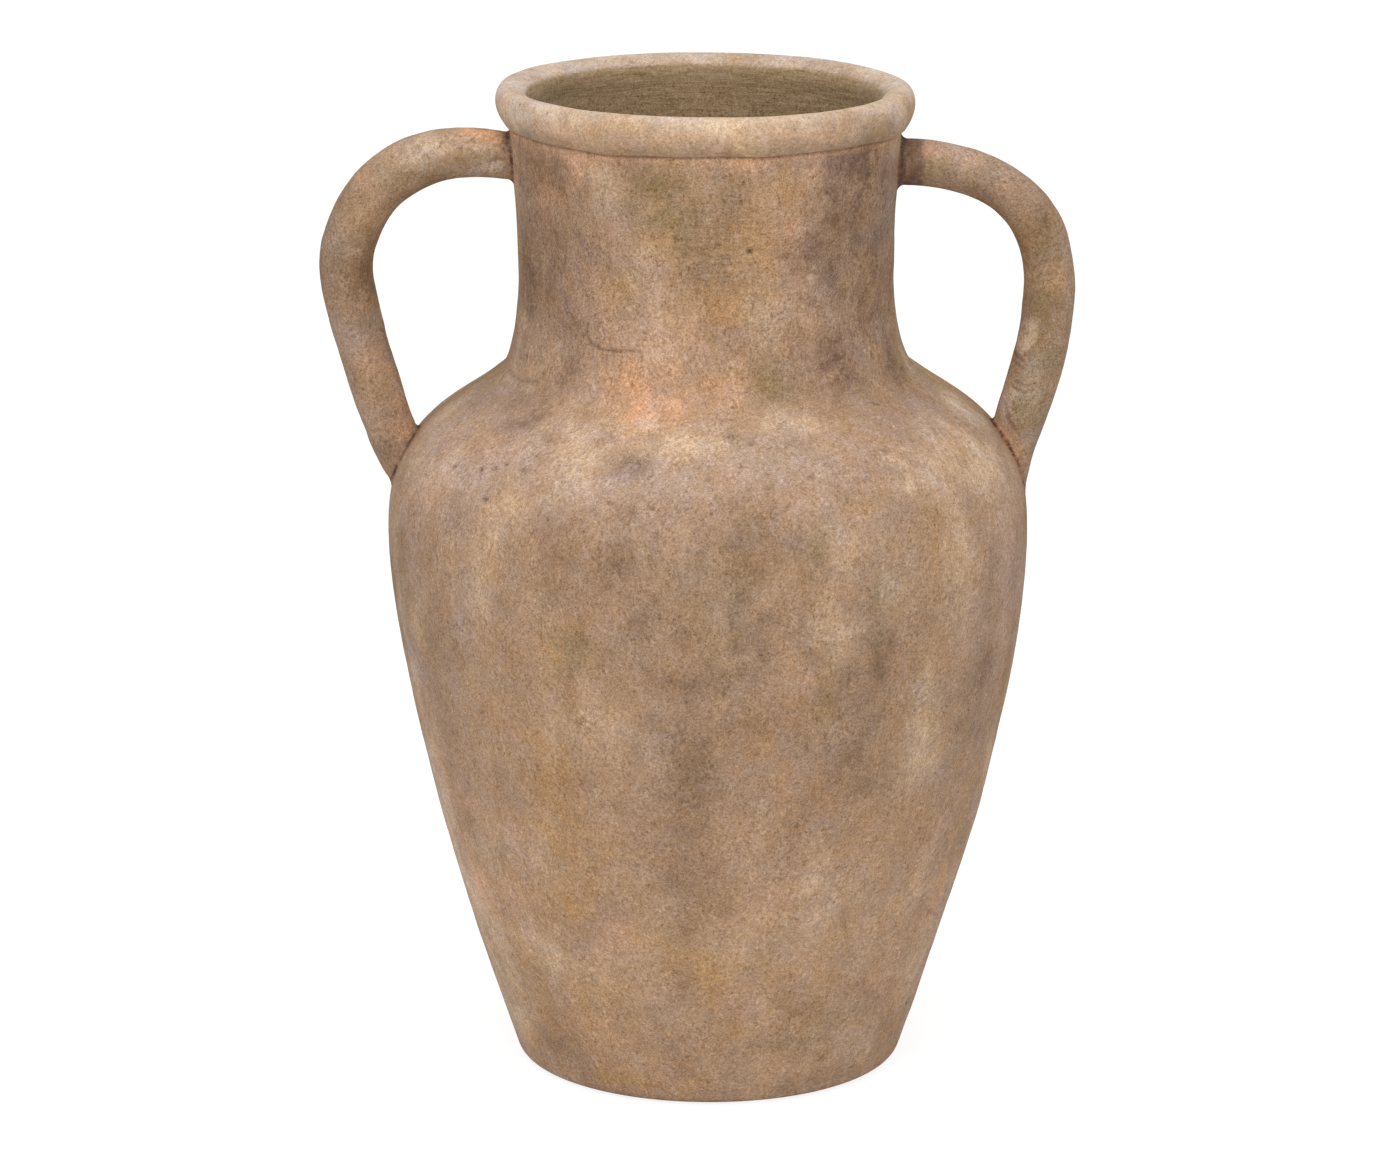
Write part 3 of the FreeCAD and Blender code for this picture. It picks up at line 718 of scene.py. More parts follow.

# %% [markdown]
# ## Colour that was washed on
#
# The fired clay is tan. Over it lie thin washes that settled in clouds: violet brown, umber, mauve,
# ochre, olive, cream where the surface was rubbed, rose, ash, and orange round the foot of the
# neck. On a flat picture they could be painted, but this part carries no images. So each cloud is
# a row of a table: its angle and height, its half width across and up, and its
# strength. The angle is 0 in front and grows to the right; 180 is the back.

# %% Clouds of wash
CLOUDS = {  # angle, height, half width across, half width up the wall, strength
    "violet": [(-28, 419, 10, 10, 0.28), (-68, 392, 9, 10, 0.6), (-54, 341, 10, 7, 0.45),
               (52, 458, 12, 8, 0.25), (-31, 379, 10, 8, 0.2), (49, 447, 8, 10, 0.25),
               (40, 420, 8, 10, 0.2), (54, 464, 22, 16, 0.97), (43, 468, 12, 12, 0.55),
               (42, 448, 11, 22, 0.55), (34, 436, 11, 16, 0.5), (30, 420, 11, 14, 0.5),
               (56, 440, 20, 18, 0.5), (66, 440, 16, 34, 0.45), (75, 405, 14, 34, 0.45),
               (66, 364, 16, 14, 0.65), (42, 364, 16, 10, 0.55), (30, 380, 17, 14, 0.3),
               (54, 404, 16, 24, 0.5), (41, 402, 11, 26, 0.4), (44, 380, 13, 14, 0.4),
               (55, 476, 14, 5, 0.4), (-70, 413, 15, 20, 0.78), (-72, 385, 13, 16, 0.45),
               (-58, 405, 17, 24, 0.42), (-52, 464, 17, 14, 0.5), (-67, 458, 14, 20, 0.35),
               (-40, 426, 13, 22, 0.22), (-48, 430, 14, 18, 0.27), (-41, 384, 13, 13, 0.36),
               (-57, 352, 12, 9, 0.25), (-46, 364, 15, 9, 0.5), (-16.5, 335, 8, 8, 0.85),
               (-50, 346, 16, 9, 0.5), (-40, 341, 9, 6, 0.35), (-52, 303, 9, 10, 0.35),
               (-2, 316, 20, 12, 0.2), (14, 306, 14, 12, 0.25), (-30, 300, 12, 12, 0.2),
               (-10, 262, 10, 14, 0.2), (38, 472, 5, 8, 0.5), (39, 458, 5, 8, 0.4), (36, 445, 5, 8, 0.45),
               (33, 432, 5, 7, 0.35)],
    "umber": [(-68, 392, 9, 10, 0.35), (70, 300, 10, 10, 0.25), (0, 272, 9, 9, 0.3), (5, 256, 9, 12, 0.75),
              (-5, 285, 12, 11, 0.45), (38, 417, 8, 10, 0.25), (28, 419, 8, 8, 0.55), (0, 474, 12, 5, 0.4),
              (-46, 484, 17, 6, 0.35), (54, 484, 20, 6, 0.4), (-44, 494, 12, 5, 0.25),
              (61, 495, 12, 5, 0.2), (-72, 240, 10, 40, 0.22), (72, 250, 10, 40, 0.22),
              (74, 50, 8, 20, 0.15), (-6, 130, 12, 12, 0.2), (41, 240, 9, 42, 0.22),
              (-63, 276, 14, 14, 0.22), (-56, 240, 12, 14, 0.2), (10, 142, 22, 9, 0.15),
              (12, 420, 8, 8, 0.15), (50, 481, 14, 3, 0.35), (-60, 482, 14, 4, 0.35), (4, 480, 14, 2, 0.3),
              (0, 425, 3000, 45, 0.15), (4, 242, 13, 32, 0.5), (-4, 270, 36, 45, 0.42),
              (-18, 284, 30, 22, 0.35), (8, 290, 13, 16, 0.35), (-12, 300, 30, 12, 0.25),
              (-3, 195, 18, 34, 0.62), (-3, 143, 13, 16, 0.22), (-6, 165, 18, 16, 0.3),
              (-2, 112, 16, 16, 0.4), (32, 236, 7, 20, 0.65), (27, 228, 12, 14, 0.35),
              (62, 224, 9, 14, 0.65), (57, 205, 14, 24, 0.45), (-17, 168, 9, 9, 0.3),
              (-37, 268, 9, 12, 0.35), (-57, 216, 14, 18, 0.15), (26, 200, 20, 18, 0.4),
              (-52, 238, 14, 18, 0.25), (-48, 22, 12, 9, 0.3), (-8, 19, 6, 6, 0.5), (-28, 91, 7, 6, 0.4),
              (26, 52, 14, 12, 0.3), (14, 34, 22, 9, 0.3), (58, 91, 9, 5, 0.4), (26, 8, 10, 5, 0.5),
              (-60, 139, 9, 9, 0.3), (14, 212, 16, 16, 0.3), (26, 174, 22, 16, 0.35),
              (60, 256, 14, 24, 0.3), (-44, 203, 10, 8, 0.25), (12, 262, 16, 18, 0.4),
              (20, 240, 10, 20, 0.35), (0, 418, 22, 9, 0.3), (-4, 66, 14, 16, 0.3),
              (-30, 284, 12, 20, 0.25)],
    "olive": [(-22, 448, 8, 10, 0.22), (-13, 426, 9, 8, 0.2), (24, 482, 22, 4, 0.4),
              (-16, 481, 18, 3, 0.35), (56, 484, 14, 5, 0.3), (-12, 452, 11, 15, 0.8),
              (-8, 438, 9, 10, 0.4), (2, 430, 15, 14, 0.4), (-15, 468, 13, 9, 0.45), (19, 367, 10, 13, 0.7),
              (3, 456, 15, 16, 0.35), (-58, 371, 9, 8, 0.3), (-25, 250, 13, 17, 0.5),
              (42, 305, 13, 10, 0.3), (47, 255, 10, 14, 0.2), (32, 275, 12, 18, 0.4),
              (-38, 225, 12, 14, 0.2), (20, 297, 9, 14, 0.35), (-72, 250, 11, 14, 0.3),
              (38, 200, 9, 16, 0.2), (20, 216, 12, 10, 0.25), (6, 345, 8, 7, 0.45), (13, 337, 5, 5, 0.35),
              (-52, 200, 15, 12, 0.15), (30, 40, 18, 10, 0.2), (5, 275, 20, 40, 0.2)],
    "ochre": [(-18, 436, 9, 9, 0.3), (-17, 177, 10, 12, 0.25), (1, 408, 16, 10, 0.35),
              (12, 441, 18, 22, 0.4), (-27, 411, 9, 9, 0.4), (25, 461, 12, 13, 0.3), (5, 402, 12, 8, 0.35),
              (-58, 364, 14, 8, 0.25), (-32, 176, 14, 24, 0.45), (-28, 238, 14, 15, 0.3),
              (-40, 200, 16, 16, 0.25), (45, 284, 13, 17, 0.25), (12, 272, 9, 18, 0.2),
              (-31, 140, 18, 22, 0.35), (-31, 106, 8, 10, 0.8), (-36, 70, 6, 8, 0.4), (-20, 48, 6, 5, 0.4),
              (12, 108, 6, 6, 0.3), (30, 314, 10, 6, 0.3), (-2, 75, 20, 12, 0.5), (-25, 12, 15, 7, 0.7),
              (44, 99, 12, 9, 0.3), (60, 110, 12, 13, 0.2), (-3, 12, 12, 7, 0.4), (0, 60, 3000, 70, 0.08),
              (-29, 55, 14, 14, 0.3), (26, 74, 18, 14, 0.2)],
    "cream": [(-45, 89, 10, 10, 0.15), (33, 276, 9, 10, 0.25), (61, 311, 10, 10, 0.25),
              (40, 333, 9, 8, 0.5), (37, 322, 10, 8, 0.25), (22, 254, 7, 9, 0.25), (21, 269, 8, 9, 0.22),
              (-23, 349, 9, 6, 0.75), (37, 76, 12, 10, 0.15), (64, 316, 12, 12, 0.2), (-23, 191, 9, 9, 0.2),
              # the bands on the rim, (0, 500) along the crest and (-68, 492) on its left, are pale rubbed
              # clay and partly a painted highlight
              (-52, 491, 14, 4, 0.3), (0, 60, 3000, 75, 0.12), (0, 500, 400, 9, 0.86),
              (-12, 382, 8, 6, 0.3), (-16, 350, 7, 5, 0.3), (-61, 79, 10, 10, 0.22), (26, 74, 12, 10, 0.12),
              (-68, 492, 34, 9, 0.6), (0, 485, 3000, 8, 0.3), (-30, 466, 9, 12, 0.5),
              (-19, 425, 14, 14, 0.2), (16, 396, 10, 16, 0.2), (38, 400, 10, 10, 0.1),
              (74, 473, 15, 6, 0.5), (-5, 343, 20, 10, 0.65), (-27, 333, 13, 16, 0.55),
              (16, 349, 16, 9, 0.45), (0, 340, 3000, 11, 0.12), (-38, 345, 16, 10, 0.3),
              # the tall pale patches at (-42, 282) and (25, 295) on the belly are paler clay and partly a
              # painted highlight
              (-38, 314, 11, 11, 0.38), (-42, 282, 12, 24, 0.42), (66, 324, 28, 20, 0.68),
              (50, 330, 18, 16, 0.35), (0, 322, 8, 6, 0.1), (25, 295, 9, 14, 0.28), (44, 180, 16, 16, 0.25),
              (22, 252, 10, 9, 0.25), (-42, 80, 20, 16, 0.4), (-66, 75, 22, 40, 0.55),
              (-54, 86, 20, 24, 0.35), (-68, 26, 16, 14, 0.35), (22, 110, 24, 18, 0.3),
              (-54, 128, 18, 15, 0.35), (-20, 211, 14, 10, 0.2), (20, 240, 9, 14, 0.15),
              (42, 216, 11, 28, 0.27), (-18, 400, 16, 12, 0.1), (50, 290, 13, 26, 0.42),
              (66, 60, 16, 24, 0.15), (-74, 120, 12, 60, 0.5), (-38, 136, 10, 14, 0.3),
              (54, 108, 16, 18, 0.35), (-30, 210, 10, 12, 0.2), (-71, 318, 20, 18, 0.3)],
    "rose": [(-62, 318, 22, 22, 0.3), (-55, 335, 24, 14, 0.3), (-62, 155, 15, 15, 0.4),
             (-72, 190, 14, 22, 0.35), (-55, 104, 24, 18, 0.6), (-68, 112, 14, 20, 0.4),
             (65, 95, 18, 18, 0.4), (14, 116, 17, 12, 0.25), (8, 58, 18, 14, 0.2), (48, 62, 18, 14, 0.25),
             (-22, 92, 14, 14, 0.35), (-36, 366, 12, 10, 0.2), (16, 232, 10, 8, 0.15),
             (-60, 285, 20, 14, 0.15), (-45, 140, 14, 14, 0.25), (55, 140, 20, 20, 0.15),
             (-30, 40, 14, 12, 0.3), (-8, 386, 16, 12, 0.35)],
    "mauve": [(-54, 341, 12, 8, 0.4), (-44, 489, 12, 5, 0.4), (66, 342, 16, 14, 0.4),
              (-62, 325, 24, 22, 0.3), (-52, 343, 12, 9, 0.35), (-30, 380, 10, 8, 0.25),
              (0, 334, 3000, 32, 0.4), (-68, 322, 26, 24, 0.5), (-53, 344, 13, 9, 0.5),
              (-48, 330, 17, 14, 0.3), (15, 332, 20, 10, 0.45), (-16, 331, 9, 9, 0.35),
              (32, 338, 18, 12, 0.4), (60, 346, 24, 10, 0.3), (-4, 325, 15, 8, 0.25),
              (-72, 350, 15, 12, 0.35), (-48, 385, 11, 14, 0.4), (-75, 440, 9, 20, 0.45),
              (57, 430, 10, 14, 0.2), (-29, 446, 10, 12, 0.25), (-62, 375, 16, 12, 0.25),
              (-50, 250, 9, 14, 0.3), (-66, 260, 40, 60, 0.38), (66, 255, 34, 60, 0.42),
              (-75, 60, 16, 90, 0.4), (75, 60, 14, 90, 0.45), (60, 385, 20, 14, 0.2),
              (-12, 140, 14, 12, 0.15), (75, 150, 14, 60, 0.35), (28, 215, 10, 10, 0.15),
              (72, 445, 8, 18, 0.5), (180, 499, 260, 9, 0.85), (150, 499, 60, 9, 0.3),
              (-150, 499, 60, 9, 0.3)],
    "orange": [(28, 418, 9, 9, 0.15), (24, 442, 8, 12, 0.25), (-19, 367, 15, 16, 0.48),
               (-14, 372, 7, 8, 0.15), (-26, 362, 12, 8, 0.25), (4, 362, 14, 6, 0.2),
               (-12, 355, 10, 6, 0.3), (3, 361, 14, 10, 0.2), (-30, 357, 13, 10, 0.25),
               (-38, 470, 10, 7, 0.3), (8, 474, 22, 3, 0.45), (-45, 474, 30, 2.5, 0.25),
               (0, 476.5, 3000, 1.6, 0.35), (-30, 118, 12, 10, 0.12), (33, 470, 5, 8, 0.3),
               (-55, 450, 9, 9, 0.25), (-18, 350, 11, 8, 0.45), (-46, 487, 14, 5, 0.2),
               (36, 487, 12, 5, 0.3), (-8, 489, 16, 3, 0.25), (-20, 388, 12, 10, 0.2),
               (-45, 95, 20, 10, 0.1), (20, 489, 14, 3, 0.25), (-30, 490, 12, 3, 0.25)],
    "ash": [(80, 342, 16, 16, 0.5), (82, 357, 10, 12, 0.35), (-35, 359, 10, 8, 0.2), (41, 216, 10, 14, 0.2),
            (33, 276, 9, 10, 0.1), (66, 320, 14, 12, 0.15), (23, 349, 9, 7, 0.2), (46, 24, 14, 12, 0.25),
            # the rings on the crest, (0, 498.5) and (-70, 495), are greyish clay and partly a painted
            # highlight
            (37, 76, 12, 10, 0.12), (0, 498.5, 3000, 4.5, 0.2), (180, 499, 240, 11, 0.7),
            (-70, 495, 40, 8, 0.35), (-16, 350, 7, 5, 0.25), (66, 442, 14, 14, 0.1),
            (-74, 100, 13, 110, 0.35), (74, 60, 10, 60, 0.1), (-60, 322, 13, 12, 0.25),
            (-60, 2, 40, 4, 0.35), (60, 2, 40, 4, 0.35), (5, 334, 12, 9, 0.1)]}
print("clouds placed by hand:", {kind: len(placed) for kind, placed in CLOUDS.items()})

# %% [markdown]
# ## From clouds to one number per wash
#
# A cloud is a bell curve of the distance to its middle. Soft noise is added to the distance first,
# so its edge is ragged. Clouds of one wash are joined so that more of them never pass full
# strength. At the back, which the photo doesn't show, noise makes the clouds. The result is one
# number for each vertex and wash, from which the material mixes its colours.

# %% Washes from clouds and noise
RAGGED = ((0.32, 19, 61), (0.2, 8, 62), (0.1, 3.5, 63))  # height, size and seed of the noise at the edges
WASH_SPREAD = {  # size and seed of the noise, strength
    "violet": (60, 71, 0.35), "ochre": (52, 73, 0.5), "olive": (46, 75, 0.45), "cream": (40, 77, 0.5),
    "umber": (64, 79, 0.5), "rose": (50, 83, 0.4), "mauve": (56, 85, 0.35)}
EDGE_SHARE, FINER, LEFT_IN_FRONT = 1.2, 2.6, 0.15


def clouds(points, angle, height, kind):
    """Bell curves of ragged distance, each times its strength, joined so that none passes one."""
    ragged = sum(high * soft_noise(points, size, seed) for high, size, seed in RAGGED)
    left_over, up = np.ones(angle.shape), way_up(height)
    for at_angle, at_height, wide, tall, strength in CLOUDS[kind]:
        turn = (angle - at_angle + 180) % 360 - 180
        across = np.radians(turn) * outside_radius(at_height) / wide
        distance = np.hypot(across, (up - way_up(at_height)) / tall)
        left_over *= 1 - strength * bell(np.maximum(distance + ragged * EDGE_SHARE, 0), 1.0)
    return 1 - left_over


def washes(points, angle, height, outside):
    """Every wash by name: clouds placed by hand in front, and clouds of noise all round."""
    made = {kind: clouds(points, angle, height, kind) * outside for kind in CLOUDS}
    behind = np.clip((np.abs(angle) - 60) / 30, 0, 1)
    share = LEFT_IN_FRONT + (1 - LEFT_IN_FRONT) * behind
    for kind, (size, seed, strength) in WASH_SPREAD.items():
        noise = soft_noise(points, size, seed) + 0.5 * soft_noise(points, size / FINER, seed + 1)
        made[kind] = np.maximum(made[kind], strength * np.clip(noise - 0.1, 0, 1) * share)
    return made


print("washes that also lie all round:", ", ".join(WASH_SPREAD))

# %% [markdown]
# ## From grids to meshes
#
# Each piece is a closed skin. A ring of rows closes on itself, as the wall of a pot does: up the
# outside, over the joint and down the inside. The floor disc has its two poles on the axis, and a
# handle has one at each end. All faces point outwards, which the sign of the volume proves. The
# normals come from the big grid, so that light doesn't break where two stages meet.

# %% Mesh making
def quad_faces(rows, columns, closed):
    """Four corners for every cell of a grid whose columns close, and whose rows close if asked."""
    i = np.arange(rows if closed else rows - 1)[:, None]
    j = np.arange(columns)[None, :]
    below, above, beside = i * columns, (i + 1) % rows * columns, (j + 1) % columns
    return np.stack([below + j, below + beside, above + beside, above + j], axis=-1).reshape(-1, 4)


def make_piece(name, points, normals, masks, nodes, material, poles=None):
    """One closed mesh from a grid in millimetres, with its masks as attributes, riding on the frame."""
    rows, columns = points.shape[:2]
    vertices, square = points.reshape(-1, 3), normals.reshape(-1, 3)
    quads = quad_faces(rows, columns, closed=poles is None)
    triangles = np.zeros((0, 3), int)
    if poles is not None:
        j, first, last = np.arange(columns), rows * columns, rows * columns + 1
        beside, top = (j + 1) % columns, (rows - 1) * columns
        triangles = np.concatenate([np.stack([first + 0 * j, beside, j], axis=1),
                                    np.stack([last + 0 * j, top + j, top + beside], axis=1)])
        vertices = np.vstack([vertices, poles])
        away = np.array([normals[0].mean(0), normals[-1].mean(0)])
        square = np.vstack([square, away / np.linalg.norm(away, axis=1)[:, None]])
    mesh = bpy.data.meshes.new(name)
    mesh.vertices.add(len(vertices))
    mesh.vertices.foreach_set("co", (vertices * METRES).astype(np.float32).ravel())
    corners = np.concatenate([quads.ravel(), triangles.ravel()]).astype(np.int32)
    starts = np.concatenate([np.arange(len(quads)) * 4, len(quads) * 4 + np.arange(len(triangles)) * 3])
    mesh.loops.add(len(corners))
    mesh.loops.foreach_set("vertex_index", corners)
    mesh.polygons.add(len(starts))
    mesh.polygons.foreach_set("loop_start", starts.astype(np.int32))
    mesh.polygons.foreach_set("use_smooth", np.ones(len(starts), bool))
    mesh.update(calc_edges=True)
    for mask, values in masks.items():
        flat = np.zeros(len(vertices), np.float32)
        flat[:rows * columns] = np.asarray(values, np.float32).ravel()
        mesh.attributes.new(mask, "FLOAT", "POINT").data.foreach_set("value", flat)
    mesh.normals_split_custom_set_from_vertices(square.astype(np.float32))
    piece = bpy.data.objects.new(name, mesh)
    bpy.context.scene.collection.objects.link(piece)
    mesh.materials.append(material)
    a, b, c, d = (vertices[quads[:, k]] for k in range(4))
    volume = (np.einsum("ij,ij->i", a, np.cross(b, c)) + np.einsum("ij,ij->i", a, np.cross(c, d))).sum() / 6
    print(f"{name}: {2 * len(quads) + len(triangles)} triangles, volume {volume / 1000:.0f} cm3")
    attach(piece, "root")
    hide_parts(*nodes)
    return piece


print("a cube of two rings of four has", len(quad_faces(2, 4, closed=False)), "sides without its ends")

# %% [markdown]
# ## Shader groups that all the clay shares
#
# A material is a graph of nodes. Written out node by node, the same few lines come back again and
# again, so each kind of node gets a helper that places it, feeds its sockets with a number or
# with another node's output, and hands back what it gives.

# %% Helpers for node groups
def new_group(name, inputs, outputs):
    """An empty node group with named sockets: colours where the value has four parts, else numbers."""
    group = bpy.data.node_groups.new(name, "ShaderNodeTree")
    for socket, value in inputs.items():
        kind = "NodeSocketColor" if isinstance(value, tuple) else "NodeSocketFloat"
        made = group.interface.new_socket(socket, in_out="INPUT", socket_type=kind)
        made.default_value = value
    for socket, kind in outputs.items():
        group.interface.new_socket(socket, in_out="OUTPUT", socket_type=kind)
    return group, group.nodes.new("NodeGroupInput"), group.nodes.new("NodeGroupOutput")


def feed(tree, socket, value):
    """A socket takes a number, a colour or another node's output."""
    if isinstance(value, (int, float, tuple)):
        socket.default_value = value
    else:
        tree.links.new(value, socket)


def math_node(tree, operation, first, second, clamp=False):
    """A Math node; each operand is a number or another node's output."""
    node = tree.nodes.new("ShaderNodeMath")
    node.operation, node.use_clamp = operation, clamp
    feed(tree, node.inputs[0], first)
    feed(tree, node.inputs[1], second)
    return node.outputs[0]


def times(tree, first, second, clamp=False):
    """One value times another."""
    return math_node(tree, "MULTIPLY", first, second, clamp)


def plus(tree, first, second):
    """One value and another, added."""
    return math_node(tree, "ADD", first, second)


def centred(tree, value, strength, middle=0.5, clamp=False):
    """A value less its middle, times a strength."""
    return times(tree, math_node(tree, "SUBTRACT", value, middle), strength, clamp)


print("node helpers: groups, sums and products")

# %% [markdown]
# ## Noise, places and colours in the graph
#
# Three more kinds of node come back all the time. The noise needs a place, which is the point's
# own coordinates in metres, shifted so that no two noises look alike. A Mapping node of the kind
# that textures use can turn them as well, and then stretches them along the turned axes.

# %% Helpers for noise, places and colours
def noise_node(tree, vector, scale, detail=2.0, roughness=0.5, distortion=0.0):
    """A Noise Texture's value at a place."""
    node = tree.nodes.new("ShaderNodeTexNoise")
    given = {"Vector": vector, "Scale": scale, "Detail": detail}
    for socket, value in (given | {"Roughness": roughness, "Distortion": distortion}).items():
        feed(tree, node.inputs[socket], value)
    return node.outputs["Fac"]


def mix_colours(tree, share, first, second, blend="MIX"):
    """A Mix node for colours; the share and both colours may be values or outputs."""
    node = tree.nodes.new("ShaderNodeMix")
    node.data_type, node.blend_type, node.clamp_result = "RGBA", blend, False
    for socket, value in ((0, share), (6, first), (7, second)):
        feed(tree, node.inputs[socket], value)
    return node.outputs[2]


def object_place(tree, shift=(0, 0, 0), stretch=(1, 1, 1), turn=None):
    """Object coordinates in metres: moved and stretched, or with a turn, drawn out in a turned frame."""
    mapping = tree.nodes.new("ShaderNodeMapping")
    if turn is not None:
        mapping.vector_type = "TEXTURE"
        mapping.inputs["Rotation"].default_value = tuple(np.radians(turn))
    mapping.inputs["Location"].default_value = shift
    mapping.inputs["Scale"].default_value = stretch
    tree.links.new(tree.nodes.new("ShaderNodeTexCoord").outputs["Object"], mapping.inputs["Vector"])
    return mapping.outputs["Vector"]


def grey_colour(tree, values):
    """Three values joined as the parts of a colour."""
    joined = tree.nodes.new("ShaderNodeCombineColor")
    for k, value in enumerate(values):
        feed(tree, joined.inputs[k], value)
    return joined.outputs[0]


print("node helpers: noise, mixing, places and joined colours")

# %% [markdown]
# ## The felt of a rubbed wash
#
# Close up, the surface looks like felt: short soft strokes that run every way, left by a rubbed
# wash. Noise in a frame that is drawn out along one axis makes strokes in one direction. Four such
# frames are turned against each other, and a coarser noise opens and closes each, so the
# directions change from place to place. A fine grain lies over all of it.

# %% Strokes
STROKE_WAYS = ((0, 12, 40), (0, 52, -45), (0, 95, 0), (0, 140, 45))
STROKE_LENGTH, STROKE_STRENGTH, GRAIN_STRENGTH = (2.8, 1.0, 1.0), 0.85, 2.25


def felt_group():
    """Drawn-out noise along four directions; coarse noise decides which of them shows at each place."""
    group, given, wanted = new_group("rubbed_strokes", {"Fineness": 420.0},
                                     {"Shade": "NodeSocketFloat", "Height": "NodeSocketFloat"})
    total = None
    for k, turn in enumerate(STROKE_WAYS):
        place = object_place(group, stretch=STROKE_LENGTH, turn=turn)
        wave = noise_node(group, place, given.outputs["Fineness"], 1.0, 0.7)
        gate = noise_node(group, object_place(group, (3.1 * k, 7.7, 1.3)), 130.0, 1.0)
        gate = centred(group, gate, 5.0, middle=0.4, clamp=True)
        stroke = times(group, centred(group, wave, STROKE_STRENGTH), gate)
        total = stroke if total is None else plus(group, total, stroke)
    grain = noise_node(group, object_place(group), 1100.0, 2.0, 0.8)
    shade = plus(group, total, centred(group, grain, GRAIN_STRENGTH))
    group.links.new(shade, wanted.inputs["Shade"])
    group.links.new(shade, wanted.inputs["Height"])
    return group


FELT = felt_group()
print(FELT.name, "has", len(FELT.nodes), "nodes")

# %% [markdown]
# ## Specks and pinholes
#
# Grit in the clay leaves fine dark dots. A Voronoi texture splits space into cells, each with a
# middle and a random colour. Part of that colour chooses which cells hold a dot, and another part
# how big it is, so the dots stay few and uneven.

# %% Specks
def specks_group():
    """Small round dots: the middles of some of the cells of a Voronoi pattern."""
    group, given, wanted = new_group("specks", {"Scale": 180.0, "Radius": 0.16, "Share": 0.2},
                                     {"Dots": "NodeSocketFloat"})
    cells = group.nodes.new("ShaderNodeTexVoronoi")
    group.links.new(object_place(group), cells.inputs["Vector"])
    group.links.new(given.outputs["Scale"], cells.inputs["Scale"])
    apart = group.nodes.new("ShaderNodeSeparateColor")
    group.links.new(cells.outputs["Color"], apart.inputs["Color"])
    chosen = math_node(group, "LESS_THAN", apart.outputs[0], given.outputs["Share"])
    size = times(group, given.outputs["Radius"], plus(group, 0.5, apart.outputs[1]))
    near = math_node(group, "DIVIDE", cells.outputs["Distance"], size)
    near = math_node(group, "SUBTRACT", 1.0, near, clamp=True)
    dots = times(group, times(group, near, 2.5, clamp=True), chosen)
    group.links.new(dots, wanted.inputs["Dots"])
    return group


SPECKS = specks_group()
print(SPECKS.name, "has", len(SPECKS.nodes), "nodes")

# %% [markdown]
# ## Mixing the washes
#
# One group takes the clay's colour and nine masks, and mixes each wash over what lies under it.
# The dark washes are thick where the pale ones are thin: the same patchy noise is added to the
# one and taken from the other. At the end small clouds change the shade a little, and others the
# hue.

# %% The washes over the fired clay
def linear(red, green, blue):
    """A colour written as 0 to 255, turned into the linear values that the shader wants."""
    c = np.array([red, green, blue]) / 255
    return tuple(float(v) for v in np.where(c <= 0.04045, c / 12.92, ((c + 0.055) / 1.055) ** 2.4)) + (1.0,)


CLAY = linear(169, 138, 111)
WASH_COLOURS = {"mauve": linear(175, 150, 135), "violet": linear(110, 85, 72), "umber": linear(126, 100, 78),
                "olive": linear(130, 110, 76), "ochre": linear(180, 138, 86), "cream": linear(208, 179, 149),
                "rose": linear(198, 154, 126), "orange": linear(217, 165, 126), "ash": linear(206, 187, 171)}
WASHES = tuple(WASH_COLOURS)
DARK_WASHES = ("violet", "umber", "olive")
SHADE_PARTS = (0.85, 1.03, 1.3)  # red, green and blue: a darker stroke is also a little redder
HUE_PARTS = (0.7, 0.1, -1.3)  # towards warm, away from blue
PATCHINESS = 3.2
MASKS = WASHES + ("inside", "brushed", "crevice_shade")


def washes_group():
    """The clay's colour with each wash mixed over it, then small clouds of shade and of hue."""
    given = {"Clay": CLAY, "Mottling": 0.62, "Hue change": 0.5}
    group, taken, wanted = new_group("washes_over_clay", given | {kind: 0.0 for kind in WASHES},
                                     {"Color": "NodeSocketColor"})
    colour = taken.outputs["Clay"]
    patches = noise_node(group, object_place(group, (2, 4, 6)), 70.0, 5.0, 0.72, 0.5)
    more_dark = plus(group, 1.0, centred(group, patches, PATCHINESS))
    more_pale = plus(group, 1.0, centred(group, patches, -PATCHINESS))
    for kind in WASHES:
        patchy = more_dark if kind in DARK_WASHES else more_pale
        share = times(group, taken.outputs[kind], patchy, clamp=True)
        colour = mix_colours(group, share, colour, WASH_COLOURS[kind])
    shade = noise_node(group, object_place(group, (1, 9, 3), (1, 1, 0.65)), 30.0, 4.0, 0.85, 0.3)
    shade = centred(group, shade, taken.outputs["Mottling"])
    hue = noise_node(group, object_place(group, (5, 2, 8)), 48.0, 4.0, 0.8, 0.3)
    hue = centred(group, hue, taken.outputs["Hue change"])
    parts = [plus(group, plus(group, 1.0, times(group, shade, dark)), times(group, hue, warm))
             for dark, warm in zip(SHADE_PARTS, HUE_PARTS)]
    colour = mix_colours(group, 1.0, colour, grey_colour(group, parts), "MULTIPLY")
    group.links.new(colour, wanted.inputs["Color"])
    return group


WASHED = washes_group()
print(WASHED.name, "mixes", len(WASHES), "washes")

# %% [markdown]
# ## One clay, five materials
#
# All pieces are the same clay, but the rim is paler, partly rubbed and partly a painted highlight on
# its crest, the handles are greyer and the lutings darker. One function builds the material from
# the three groups and a few values, so the finish stays the same where two pieces meet. Painted
# shade darkens the creases, pits and corners, and is broken up by noise; the same dark colour makes
# the specks. The surface is rough and hardly shiny, and the strokes give it a very fine bump.

